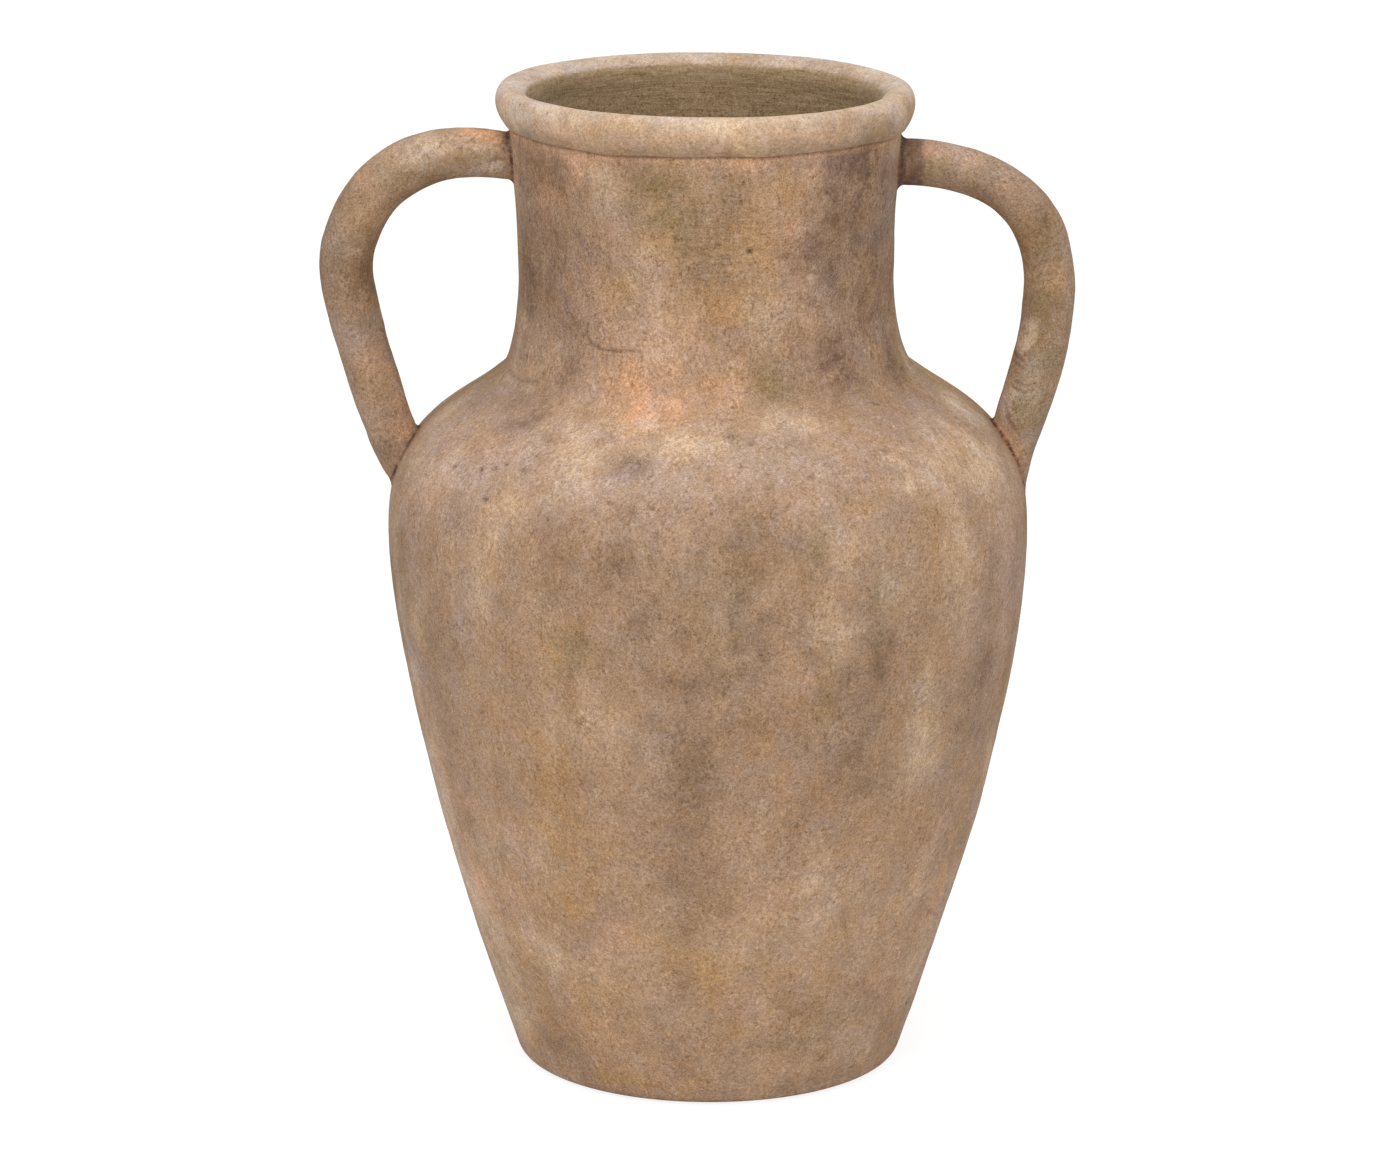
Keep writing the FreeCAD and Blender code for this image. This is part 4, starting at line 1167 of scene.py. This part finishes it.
# %% One clay material, placed with its own values
# the second colour darkens the specks and is also the painted shade in creases, pits and corners
INSIDE_CLAY, SPECK_AND_SHADE_COLOUR = linear(158, 134, 102), linear(88, 60, 46)
ROUGHNESS, SHINE, BUMP_STRENGTH, BUMP_METRES = 0.88, 0.22, 0.35, 0.0006
STROKE_FINENESS = 600.0


def attribute(tree, name):
    """The value of a mask that the mesh carries."""
    reader = tree.nodes.new("ShaderNodeAttribute")
    reader.attribute_name = name
    return reader.outputs["Fac"]


def placed_group(tree, group, **values):
    """A group placed in a material, with its own values."""
    node = tree.nodes.new("ShaderNodeGroup")
    node.node_tree = group
    for socket, value in values.items():
        feed(tree, node.inputs[socket], value)
    return node


def clay_material(name, clay, felt=0.8, dots=0.25, mottling=0.65, brushing=0.0):
    """Fired clay: washes and clouds, darkened and lightened by strokes, with specks and a fine bump."""
    material = bpy.data.materials.new(name)
    material.use_nodes = True
    tree = material.node_tree
    masks = {kind: attribute(tree, kind) for kind in WASHES}
    colour = placed_group(tree, WASHED, Clay=clay, Mottling=mottling, **masks).outputs["Color"]
    strokes = placed_group(tree, FELT, Fineness=STROKE_FINENESS)
    shade, height = strokes.outputs["Shade"], strokes.outputs["Height"]
    if brushing:
        rings = noise_node(tree, object_place(tree, stretch=(0.1, 0.1, 1)), 640.0, 2.0, 0.6, 1.0)
        rings = times(tree, centred(tree, rings, brushing), attribute(tree, "brushed"))
        shade, height = plus(tree, shade, rings), plus(tree, height, rings)
        colour = mix_colours(tree, attribute(tree, "inside"), colour, INSIDE_CLAY)
    parts = [plus(tree, 1.0, times(tree, shade, felt * part)) for part in SHADE_PARTS]
    colour = mix_colours(tree, 1.0, colour, grey_colour(tree, parts), "MULTIPLY")
    speckled = times(tree, placed_group(tree, SPECKS).outputs["Dots"], dots)
    broken = noise_node(tree, object_place(tree, (6, 1, 2), (0.55, 0.55, 1)), 620.0, 2.0, 0.75, 0.4)
    broken = plus(tree, 0.5, times(tree, centred(tree, broken, 6.5, middle=0.4, clamp=True), 0.6))
    # painted shade in creases, pits and corners, from the crevice mask, broken up by noise
    painted_crevice_shade = times(tree, attribute(tree, "crevice_shade"), broken, clamp=True)
    colour = mix_colours(tree, math_node(tree, "MAXIMUM", speckled, painted_crevice_shade), colour, SPECK_AND_SHADE_COLOUR)
    bumps = tree.nodes.new("ShaderNodeBump")
    bumps.inputs["Strength"].default_value = BUMP_STRENGTH
    bumps.inputs["Distance"].default_value = BUMP_METRES
    feed(tree, bumps.inputs["Height"], math_node(tree, "SUBTRACT", height, times(tree, speckled, 1.5)))
    shader = tree.nodes["Principled BSDF"]
    finish = {"Base Color": colour, "Specular IOR Level": SHINE, "Roughness": ROUGHNESS,
              "Normal": bumps.outputs["Normal"]}
    for socket, value in finish.items():
        feed(tree, shader.inputs[socket], value)
    return material


BODY_CLAY = clay_material("washed_body_clay", CLAY, dots=0.35, mottling=1.05, brushing=2.6)
NECK_CLAY = clay_material("washed_neck_clay", CLAY, felt=0.88, mottling=1.15, brushing=2.6)
RIM_CLAY = clay_material("rubbed_rim_clay", CLAY, felt=0.65, brushing=3.6)
HANDLE_CLAY = clay_material("pitted_handle_clay", linear(156, 129, 106), dots=0.35, mottling=0.7)
LUTING_CLAY = clay_material("smeared_luting_clay", linear(150, 120, 96))
print("materials:", [made.name for made in (BODY_CLAY, NECK_CLAY, RIM_CLAY, HANDLE_CLAY, LUTING_CLAY)])

# %% [markdown]
# ## Rows for the joints
#
# A potter turns a big pot in stages. Between the outside and the inside of a stage comes the
# pinched ridge that holds the next one. The ridge is one more row, in the middle of the wall, a
# little above the joint, and the groove over it is the same row in the stage above.

# %% Plain rings and ridges
TURN = np.radians(ANGLES)


def plain_ring(radius, height):
    """One row of a perfect ring at a radius and height, on the leaning axis."""
    ring = [radius * np.sin(TURN) + lean(height), -radius * np.cos(TURN), np.full(len(TURN), float(height))]
    return np.stack(ring, axis=-1)[None]


def inner_ring(height):
    """A plain ring on the inside of the pot, at a height."""
    return plain_ring(inner_radius(height), height)


def ridge(height):
    """The ridge of a joint: a ring in the middle of the wall, risen by the ridge's height."""
    return plain_ring((outside_radius(height) + inner_radius(height)) / 2, height + RIDGE)


print("ridges stand", RIDGE, "mm high, with", len(TURN), "points round")

# %% [markdown]
# ## Painted shade in the corners under the handles
#
# Where a handle meets the wall, shade falls in the corner, so a dark line of painted shade goes
# there. The wall has to carry it, because the corner is on both pieces. For each handle end the
# distance to the middle line of the coil is measured, and a bell curve makes the line a few
# millimetres out.

# %% Painted shade round the handle ends
CORNER_SHADE_OUT, CORNER_SHADE_WIDTH, CORNER_SHADE_REACH, END_ROWS = 3.2, 1.3, 45, 24


def handle_corner_shade(points):
    """Painted shade on the pot round each handle end: a bell curve of the distance to the coil's side."""
    dark = np.zeros(points.shape[:2])
    for h in HANDLES.values():
        line = handle_line(h, 1.5)[0]
        turned = points * (h["side"], 1, 1)
        for end, size in ((line[:END_ROWS], h["sizes"][0]), (line[-END_ROWS:], h["sizes"][-1])):
            spots = np.stack([end[:, 0], 0 * end[:, 0], end[:, 1]], axis=-1)
            near = np.linalg.norm(turned - spots.mean(axis=0), axis=-1) < CORNER_SHADE_REACH
            apart = np.linalg.norm(turned[near][:, None] - spots[None], axis=-1).min(axis=1) - size / 2
            dark[near] = np.maximum(dark[near], bell(apart - CORNER_SHADE_OUT, CORNER_SHADE_WIDTH))
    return dark * np.clip(0.65 + soft_noise(points, 5, 95), 0.1, 1)


HANDLE_CORNER_SHADE = handle_corner_shade(POT)
# the count below is of points with painted shade round the handle ends
print("dirt lies on", int((HANDLE_CORNER_SHADE > 0.2).sum()), "of", HANDLE_CORNER_SHADE.size, "points of the pot")

# %% [markdown]
# ## Washes on the pot
#
# Now every point of the big grid gets its masks: the nine washes, the dull inside that shows in
# the mouth, the brushed rings there and on the front of the neck, and the painted shade. The painted
# shade is the darkest of four things: pits and creases, the shadow line under the lap, a faint
# shade just inside the mouth under the lip and the shade lines round the handle ends.

# %% Masks of the pot
ROW_NUMBERS = np.arange(len(ROWS))[:, None]
OUTER = (ROW_NUMBERS <= STARTS["neck_inside"]).astype(float)
AFTER_CREST, UNDER_LAP = ROW_NUMBERS > CREST_ROW, ROW_NUMBERS < STARTS["rim"] + 2
POT_MASKS = washes(POT, np.where(POT_ANGLE > 180, POT_ANGLE - 360, POT_ANGLE), POT_HEIGHT, OUTER)
WARMER_INSIDE = 0.4 * np.clip(soft_noise(POT, 26, 91) + 0.3 * soft_noise(POT, 9, 92) - 0.1, 0, 1)
BELOW_MOUTH = np.clip((HEIGHT - 3.6 - POT_HEIGHT) / 1.6, 0, 1)
POT_MASKS["inside"] = AFTER_CREST * BELOW_MOUTH * (1 - WARMER_INSIDE)
BRUSHED_NECK = bell(np.hypot((POT_ANGLE - 6) / 24, (POT_HEIGHT - 438) / 26), 1.0)
POT_MASKS["brushed"] = np.maximum(0.55 * POT_MASKS["inside"], 0.36 * OUTER * BRUSHED_NECK)
PRESSED = 0.85 * pit_depths(POT_ANGLE, POT_HEIGHT) + 0.5 * crease_depths(POT_ANGLE, POT_HEIGHT)
# painted shade: pits and creases, the shadow under the lap, the shade under the lip inside the mouth and the
# corners round the handle ends
POT_MASKS["crevice_shade"] = np.maximum.reduce([
    OUTER * np.clip(PRESSED, 0, 0.75),
    0.6 * UNDER_LAP * bell(POT_HEIGHT - LAP_HEIGHT, 1.1),
    0.22 * AFTER_CREST * bell(POT_HEIGHT - 488, 4),
    0.5 * OUTER * HANDLE_CORNER_SHADE])
print("washes:", {kind: round(float(mask.mean()), 3) for kind, mask in POT_MASKS.items()})

# %% [markdown]
# ## The stages of the wall
#
# Each stage takes its rows of the big grid: up the outside, over the ridge and down the inside.
# The floor is a slab between two poles, and the coil in the corner has a row on each leg. The
# neck and the rim share two more rows, the seat under the rolled coil.

# %% The turned pieces
def pot_piece(name, parts, material, poles=None):
    """A stage from parts of the pot: each is a pair of run names, or a plain row with no wash."""
    points, normals, masks = [], [], {kind: [] for kind in MASKS}
    for part in parts:
        if isinstance(part, tuple):
            first = STARTS[part[0]] + (1 if part[0] == "foot" else 0)
            rows = slice(first, STARTS.get(part[1], len(ROWS) - 2) + 1)
            points.append(POT[rows])
            normals.append(POT_NORMALS[rows])
            for kind in MASKS:
                masks[kind].append(POT_MASKS[kind][rows])
        else:
            points.append(part)
            normals.append(np.broadcast_to([0.0, 0.0, 1.0], part.shape))
            for kind in MASKS:
                masks[kind].append(np.zeros(part.shape[:2]))
    masks = {kind: np.concatenate(mask) for kind, mask in masks.items()}
    make_piece(name, np.concatenate(points), np.concatenate(normals), masks, [name.replace("_skin", "")],
               material, poles)


FLOOR_EDGE, SEAT_RIDGE = inner_ring(FLOOR_TOP), plain_ring(BORE_RADIUS + NECK_WALL / 2, SEAT_HEIGHT)
UNDER_SEAT = plain_ring(NECK_TOP_RADIUS - 0.1, SEAT_HEIGHT - RIDGE)
FLOOR_POLES = np.array([[0, 0, 0], [0, 0, FLOOR_TOP]])
BODY_PARTS = {
    "corner_coil_skin": [("coil", "floor"), FLOOR_EDGE, inner_ring(FLOOR_TOP + COIL_LEG / 2)],
    "lower_wall_skin": [("lower", "belly"), ridge(LOWER_JOINT), ("lower_inside", "coil"), FLOOR_EDGE],
    "belly_wall_skin": [("belly", "shoulder"), ridge(BELLY_JOINT), ("belly_inside", "lower_inside"),
                        ridge(LOWER_JOINT)],
    "shoulder_skin": [("shoulder", "neck"), ridge(NECK_JOINT), ("shoulder_inside", "belly_inside"),
                      ridge(BELLY_JOINT)]}
NECK_PARTS = [("neck", "rim"), UNDER_SEAT, SEAT_RIDGE, ("neck_inside", "shoulder_inside"), ridge(NECK_JOINT)]
FLOOR_PARTS = [("foot", "lower"), FLOOR_EDGE, ("floor", "end")]
pot_piece("floor_disc_skin", FLOOR_PARTS, BODY_CLAY, FLOOR_POLES)
for name, parts in BODY_PARTS.items():
    pot_piece(name, parts, BODY_CLAY)
pot_piece("neck_skin", NECK_PARTS, NECK_CLAY)
pot_piece("rim_roll_skin", [("rim", "neck_inside"), SEAT_RIDGE, UNDER_SEAT], RIM_CLAY)
print("turned pieces made:", 3 + len(BODY_PARTS))

# %% [markdown]
# ## Clouds on the handles
#
# The handles carry the same washes as the pot, and are placed by the same kind of table. Its first
# number is the distance from the axis, because a handle hardly turns round the pot. The clouds
# lie on the side that faces front.

# %% Clouds of wash on the handles
HANDLE_CLOUDS = {  # distance from the axis, height, half width, half height, strength, on the front side
    "left": {
        "orange": [(109, 477, 10, 4, 0.8), (103, 474, 6, 4, 0.8), (112, 475, 12, 4, 0.5),
                   (119, 474, 8, 3, 0.3), (171, 453, 5, 9, 0.35), (153, 338, 5, 14, 0.25),
                   (150, 326, 4, 8, 0.3)],
        "cream": [(124, 472, 14, 5, 0.32), (140, 469, 12, 6, 0.5), (150, 464, 10, 7, 0.35),
                  (112, 468, 14, 3, 0.25)],
        "olive": [(112, 461, 16, 5, 0.35), (130, 460, 14, 6, 0.3), (148, 452, 10, 8, 0.3)],
        "umber": [(176, 415, 8, 9, 0.35), (160, 440, 9, 12, 0.5), (168, 428, 8, 16, 0.6),
                  (171, 408, 6, 20, 0.7), (150, 445, 8, 6, 0.4), (182, 432, 10, 22, 0.35),
                  (176, 428, 10, 14, 0.3), (174, 400, 12, 14, 0.3), (158, 318, 8, 12, 0.3),
                  (135, 453, 12, 4, 0.5), (112, 456, 14, 3, 0.3), (176, 420, 10, 14, 0.45),
                  (176, 440, 8, 8, 0.3), (173, 383, 9, 10, 0.35), (174, 426, 8, 10, 0.25)],
        "violet": [(98, 466, 3.5, 14, 0.7), (163, 314, 8, 7, 0.4), (166, 398, 5, 14, 0.45),
                   (174, 392, 8, 10, 0.25)],
        "mauve": [(171, 384, 9, 9, 0.7), (175, 372, 9, 8, 0.45), (176, 394, 8, 8, 0.4),
                  (165, 330, 8, 8, 0.2)],
        "ash": [(146, 468, 9, 5, 0.2), (147, 356, 7, 14, 0.45), (143, 342, 6, 10, 0.4),
                (110, 456, 14, 4, 0.45)],
        "ochre": [(172, 432, 8, 8, 0.25), (168, 352, 9, 9, 0.35), (160, 346, 8, 10, 0.3)],
        "rose": [(168, 358, 8, 8, 0.3), (160, 330, 7, 10, 0.25)]},
    "right": {
        "violet": [(140, 444, 12, 5, 0.45), (152, 437, 8, 6, 0.35), (166, 433, 6, 7, 0.45),
                   (128, 450, 10, 4, 0.4), (168, 391, 4, 5, 0.4), (171, 394, 8, 12, 0.25),
                   (158, 425, 5, 8, 0.25), (152, 322, 6, 10, 0.3), (162, 428, 8, 10, 0.25)],
        "rose": [(112, 467, 6, 4, 0.5), (130, 464, 12, 6, 0.35), (150, 450, 8, 7, 0.25)],
        "mauve": [(128, 464, 10, 5, 0.5), (142, 458, 12, 6, 0.4), (158, 444, 8, 8, 0.4),
                  (120, 466, 8, 4, 0.35), (172, 440, 5, 10, 0.3), (172, 365, 6, 30, 0.25),
                  (163, 400, 12, 20, 0.2)],
        "olive": [(113, 458, 6, 6, 0.6), (168, 372, 7, 24, 0.65), (160, 341, 9, 14, 0.6),
                  (164, 412, 7, 12, 0.35), (157, 330, 7, 8, 0.55), (118, 460, 8, 5, 0.3),
                  (165, 392, 8, 14, 0.35)],
        "ochre": [(156, 412, 4, 16, 0.35), (155, 398, 4, 12, 0.3), (171, 400, 6, 10, 0.2),
                  (150, 352, 4, 8, 0.2)],
        "cream": [(133, 462, 8, 5, 0.15)],
        "ash": [(122, 466, 10, 4, 0.2), (146, 456, 10, 5, 0.25), (163, 362, 6, 7, 0.1),
                (148.5, 338, 2.5, 6, 0.6), (160, 345, 8, 12, 0.25), (146, 340, 7, 12, 0.3)],
        "umber": [(132, 458, 10, 5, 0.25), (156, 420, 4, 14, 0.4), (145, 436, 10, 4, 0.5),
                  (132, 446, 12, 3, 0.5), (110, 452, 8, 3, 0.5), (155, 305, 8, 12, 0.5),
                  (152, 318, 6, 8, 0.3), (168, 393, 8, 12, 0.4), (169, 418, 7, 10, 0.35),
                  (152, 362, 4, 3, 0.3)],
        "orange": [(151, 323, 4, 6, 0.35), (156, 316, 4, 7, 0.2)]}}
print("clouds:", {side: sum(map(len, placed.values())) for side, placed in HANDLE_CLOUDS.items()})

# %% [markdown]
# ## Washes on the handles
#
# Behind, noise makes the clouds, and in front the table does. The thumb mark is rubbed pale. A
# handle gets painted shade in its pits and in the last millimetres next to the pot, which the
# distance to the pot tells. The stub at the root of the right handle is dark on the real one, so a
# wash of its own covers it.

# %% Masks of the handles
HANDLE_SPREAD = {"umber": (30, 1, 0.4), "ochre": (26, 2, 0.35), "olive": (34, 3, 0.5), "cream": (24, 4, 0.45),
                 "mauve": (30, 5, 0.3)}  # size of the noise, step of the seed, strength
STUB_END, STUB_TOP = 108, 474


def handle_masks(points, side):
    """Washes on a handle: noise behind, placed clouds in front, painted shade in pits and next to the pot."""
    seed = HANDLES[side]["seed"]
    distance = np.maximum(outside_of_pot(points), 0)
    front = np.clip((4 - points[..., 1]) / 8, 0, 1)
    out, height = np.abs(points[..., 0]), points[..., 2]
    ragged = 0.35 * soft_noise(points, 9, seed + 30) + 0.2 * soft_noise(points, 4, seed + 31)
    made = {kind: 0 * distance for kind in MASKS}
    for kind, (size, shift, strength) in HANDLE_SPREAD.items():
        fine = soft_noise(points, size / FINER, seed + 9 + shift)
        noise = soft_noise(points, size, seed + shift) + 0.5 * fine
        made[kind] = strength * np.clip(noise + 0.15, 0, 1) * (1 - 0.65 * front)
    for kind, placed in HANDLE_CLOUDS[side].items():
        left_over = 1 - made[kind]
        for x, z, wide, tall, strength in placed:
            near = np.hypot((out - x) / wide, (height - z) / tall)
            left_over *= 1 - strength * front * bell(np.maximum(near + ragged, 0), 1.0)
        made[kind] = 1 - left_over
    thumb = thumb_mark(points, side)
    for kind in WASHES:
        made[kind] = made[kind] * (1 - 0.8 * thumb)
    made["cream"] = np.maximum(made["cream"], 0.45 * thumb)
    made["ash"] = np.maximum(made["ash"], 0.32 * thumb)
    made["orange"] = np.maximum(made["orange"], 0.12 * bell(distance - 4, 6))
    pitted = np.clip(0.6 * handle_pits(points, side), 0, 0.5)
    # painted shade on the handle next to the pot and in its pits
    made["crevice_shade"] = np.maximum(0.75 * np.exp(-distance / 1.6), pitted)
    if side == "right":
        stub = np.clip((STUB_END + 3 * ragged - out) / 2.5, 0, 1) * np.clip((STUB_TOP - height) / 5, 0, 1)
        stub = np.clip(stub * (0.85 + 0.7 * ragged), 0, 1)
        for kind in WASHES:
            made[kind] = made[kind] * (1 - 0.85 * stub * (kind != "violet"))
        made["violet"] = np.maximum(made["violet"], stub)
        made["crevice_shade"] = np.maximum(made["crevice_shade"], 0.4 * stub)
    return made


def luting_masks(ring, side, at_start):
    """Painted shade along the corner of the fillet, and some orange; the right upper one is violet."""
    masks = {kind: np.zeros(ring.shape[:2]) for kind in MASKS}
    fillet = slice(0, FILLET_ROWS)
    row = np.linspace(0, 1, FILLET_ROWS)[:, None] * np.ones(ring.shape[1])
    corner_shade_noise = np.clip(1.0 + 0.6 * soft_noise(ring[fillet], 3, HANDLES[side]["seed"] + 12), 0.4, 1.3)
    # painted shade along the middle of the fillet, in the corner between handle and wall
    masks["crevice_shade"][fillet] = 0.95 * bell(row - 0.5, 0.28) * corner_shade_noise
    masks["orange"][fillet] = 0.15 + 0.4 * (side == "right") * (1 - at_start) * (1 - row)
    if side == "right" and at_start:
        masks["violet"][fillet], masks["orange"][fillet] = 0.8, 0.0
    return masks


print("the stub of the right handle ends", STUB_END, "mm from the axis")

# %% [markdown]
# ## Handles and lutings in place
#
# A handle is closed with a pole at each end, inside the wall. Its ends are drawn back first, so
# nothing shows inside the pot. The ring of smeared clay is cut to the handle as it was before
# that, so it meets the coil all round.

# %% The handles and their lutings
for side, h in HANDLES.items():
    buried = draw_back(HANDLE_POINTS[side])
    ends = np.array([buried[0].mean(0), buried[-1].mean(0)])
    make_piece(side + "_handle_skin", buried, grid_normals(buried), handle_masks(buried, side),
               [side + "_handle"], HANDLE_CLAY, poles=ends)
    for place, (up_handle, on_wall) in zip(("upper", "lower"), LUTINGS[side]):
        at_start = place == "upper"
        seed = h["seed"] + (7 if at_start else 8)
        ring = luting_surface(HANDLE_POINTS[side], at_start, up_handle, on_wall, seed)
        make_piece(f"{side}_{place}_luting_skin", ring, grid_normals(ring, closed_rows=True),
                   luting_masks(ring, side, at_start), [f"{side}_{place}_luting"], LUTING_CLAY)
print("handles and lutings made:", 3 * len(HANDLES))

# %% [markdown]
# ## The camera
#
# The photograph looks down on the vase by 14 degrees from 3 metres away, through a long lens. It
# shows in how open the mouth is and how round the foot. The numbers were fitted to the outline.

# %% Camera
LENS, SENSOR_WIDTH, CAMERA_PLACE, LOOKS_DOWN = 158.73, 36.0, (-0.00587, -3.0, 0.9911), 13.92
camera_data = bpy.data.cameras.new("studio_camera")
camera_data.sensor_width, camera_data.lens, camera_data.clip_end = SENSOR_WIDTH, LENS, 100.0
camera = bpy.data.objects.new("studio_camera", camera_data)
bpy.context.scene.collection.objects.link(camera)
camera.location = CAMERA_PLACE
camera.rotation_euler = (np.radians(90 - LOOKS_DOWN), 0, 0)
bpy.context.scene.camera = camera
print("camera at", CAMERA_PLACE, "with a lens of", LENS, "mm")

# %% [markdown]
# ## The floor
#
# The vase stands on white paper. Real paper would show grey in the picture, so the floor is two
# things: pale and plain for the light that bounces off it, and glowing white for the camera, with
# a little diffuse left that takes the soft shadow. A Light Path node chooses between them.

# %% The floor
HALF_FLOOR, FLOOR_LEVEL = 30.0, -0.0004
FLOOR_COLOUR, SHADOW_COLOUR, GLOW = (0.8, 0.8, 0.8, 1), (0.25, 0.25, 0.25, 1), 0.86
floor_mesh = bpy.data.meshes.new("pale_floor")
corners = [(x * HALF_FLOOR, y * HALF_FLOOR, FLOOR_LEVEL) for x, y in ((-1, -1), (1, -1), (1, 1), (-1, 1))]
floor_mesh.from_pydata(corners, [], [(0, 1, 2, 3)])
floor = bpy.data.objects.new("pale_floor", floor_mesh)
bpy.context.scene.collection.objects.link(floor)
floor_material = bpy.data.materials.new("pale_floor")
floor_material.use_nodes = True
tree = floor_material.node_tree
plain = tree.nodes["Principled BSDF"]
plain.inputs["Base Color"].default_value = FLOOR_COLOUR
plain.inputs["Roughness"].default_value = 0.9
plain.inputs["Specular IOR Level"].default_value = 0.0
glow = tree.nodes.new("ShaderNodeEmission")
glow.inputs["Strength"].default_value = GLOW
dim = tree.nodes.new("ShaderNodeBsdfDiffuse")
dim.inputs["Color"].default_value = SHADOW_COLOUR
both = tree.nodes.new("ShaderNodeAddShader")
tree.links.new(glow.outputs[0], both.inputs[0])
tree.links.new(dim.outputs[0], both.inputs[1])
rays = tree.nodes.new("ShaderNodeLightPath")
chosen = tree.nodes.new("ShaderNodeMixShader")
tree.links.new(rays.outputs["Is Camera Ray"], chosen.inputs[0])
tree.links.new(plain.outputs[0], chosen.inputs[1])
tree.links.new(both.outputs[0], chosen.inputs[2])
tree.links.new(chosen.outputs[0], tree.nodes["Material Output"].inputs["Surface"])
floor_mesh.materials.append(floor_material)
print("floor", 2 * HALF_FLOOR, "metres square")

# %% [markdown]
# ## The white room
#
# The background is pure white where the camera sees it, but as a lamp it is dimmer, or the clay
# would lose its shadows. The world's shader chooses by the kind of ray, as the floor does.

# %% The room
WHITE, ROOM_LIGHT, ROOM_SEEN = (1, 1, 1, 1), 0.68, 1.0
world = bpy.data.worlds.new("pale_room")
bpy.context.scene.world = world
world.use_nodes = True
tree = world.node_tree
room, white = tree.nodes["Background"], tree.nodes.new("ShaderNodeBackground")
for background, strength in ((room, ROOM_LIGHT), (white, ROOM_SEEN)):
    background.inputs["Color"].default_value = WHITE
    background.inputs["Strength"].default_value = strength
rays = tree.nodes.new("ShaderNodeLightPath")
seen = math_node(tree, "MAXIMUM", rays.outputs["Is Camera Ray"], rays.outputs["Is Glossy Ray"])
either = tree.nodes.new("ShaderNodeMixShader")
tree.links.new(seen, either.inputs[0])
tree.links.new(room.outputs[0], either.inputs[1])
tree.links.new(white.outputs[0], either.inputs[2])
tree.links.new(either.outputs[0], tree.nodes["World Output"].inputs["Surface"])
print("room light", ROOM_LIGHT, "and", ROOM_SEEN, "for the camera")

# %% [markdown]
# ## The lamps
#
# The shadows in the photograph are wide and faint, so the lamps are large: one in front and above
# on the left, one overhead that lights the shoulder, and a low one in front that opens the
# shadow under the handles.

# %% Lamps
LAMPS = {"front_top": ((-0.45, -2.1, 2.3), (0, 0, 0.3), 1.8, 22),
         "overhead": ((0.1, -0.5, 2.5), (0, 0, 0.3), 1.6, 12),
         "front_low": ((0.4, -2.5, 0.6), (0, 0, 0.2), 2.2, 13)}  # place, target, size in metres, watts


def soft_lamp(name, place, target, size, power):
    """A square lamp that faces a point."""
    data = bpy.data.lights.new(name, "AREA")
    data.size, data.energy = size, power
    lamp = bpy.data.objects.new(name, data)
    bpy.context.scene.collection.objects.link(lamp)
    lamp.location = place
    lamp.rotation_euler = (Vector(target) - Vector(place)).to_track_quat("-Z", "Y").to_euler()


for name, settings in LAMPS.items():
    soft_lamp(name, *settings)
bpy.context.scene.view_settings.view_transform = "Standard"
print("lamps:", ", ".join(LAMPS))
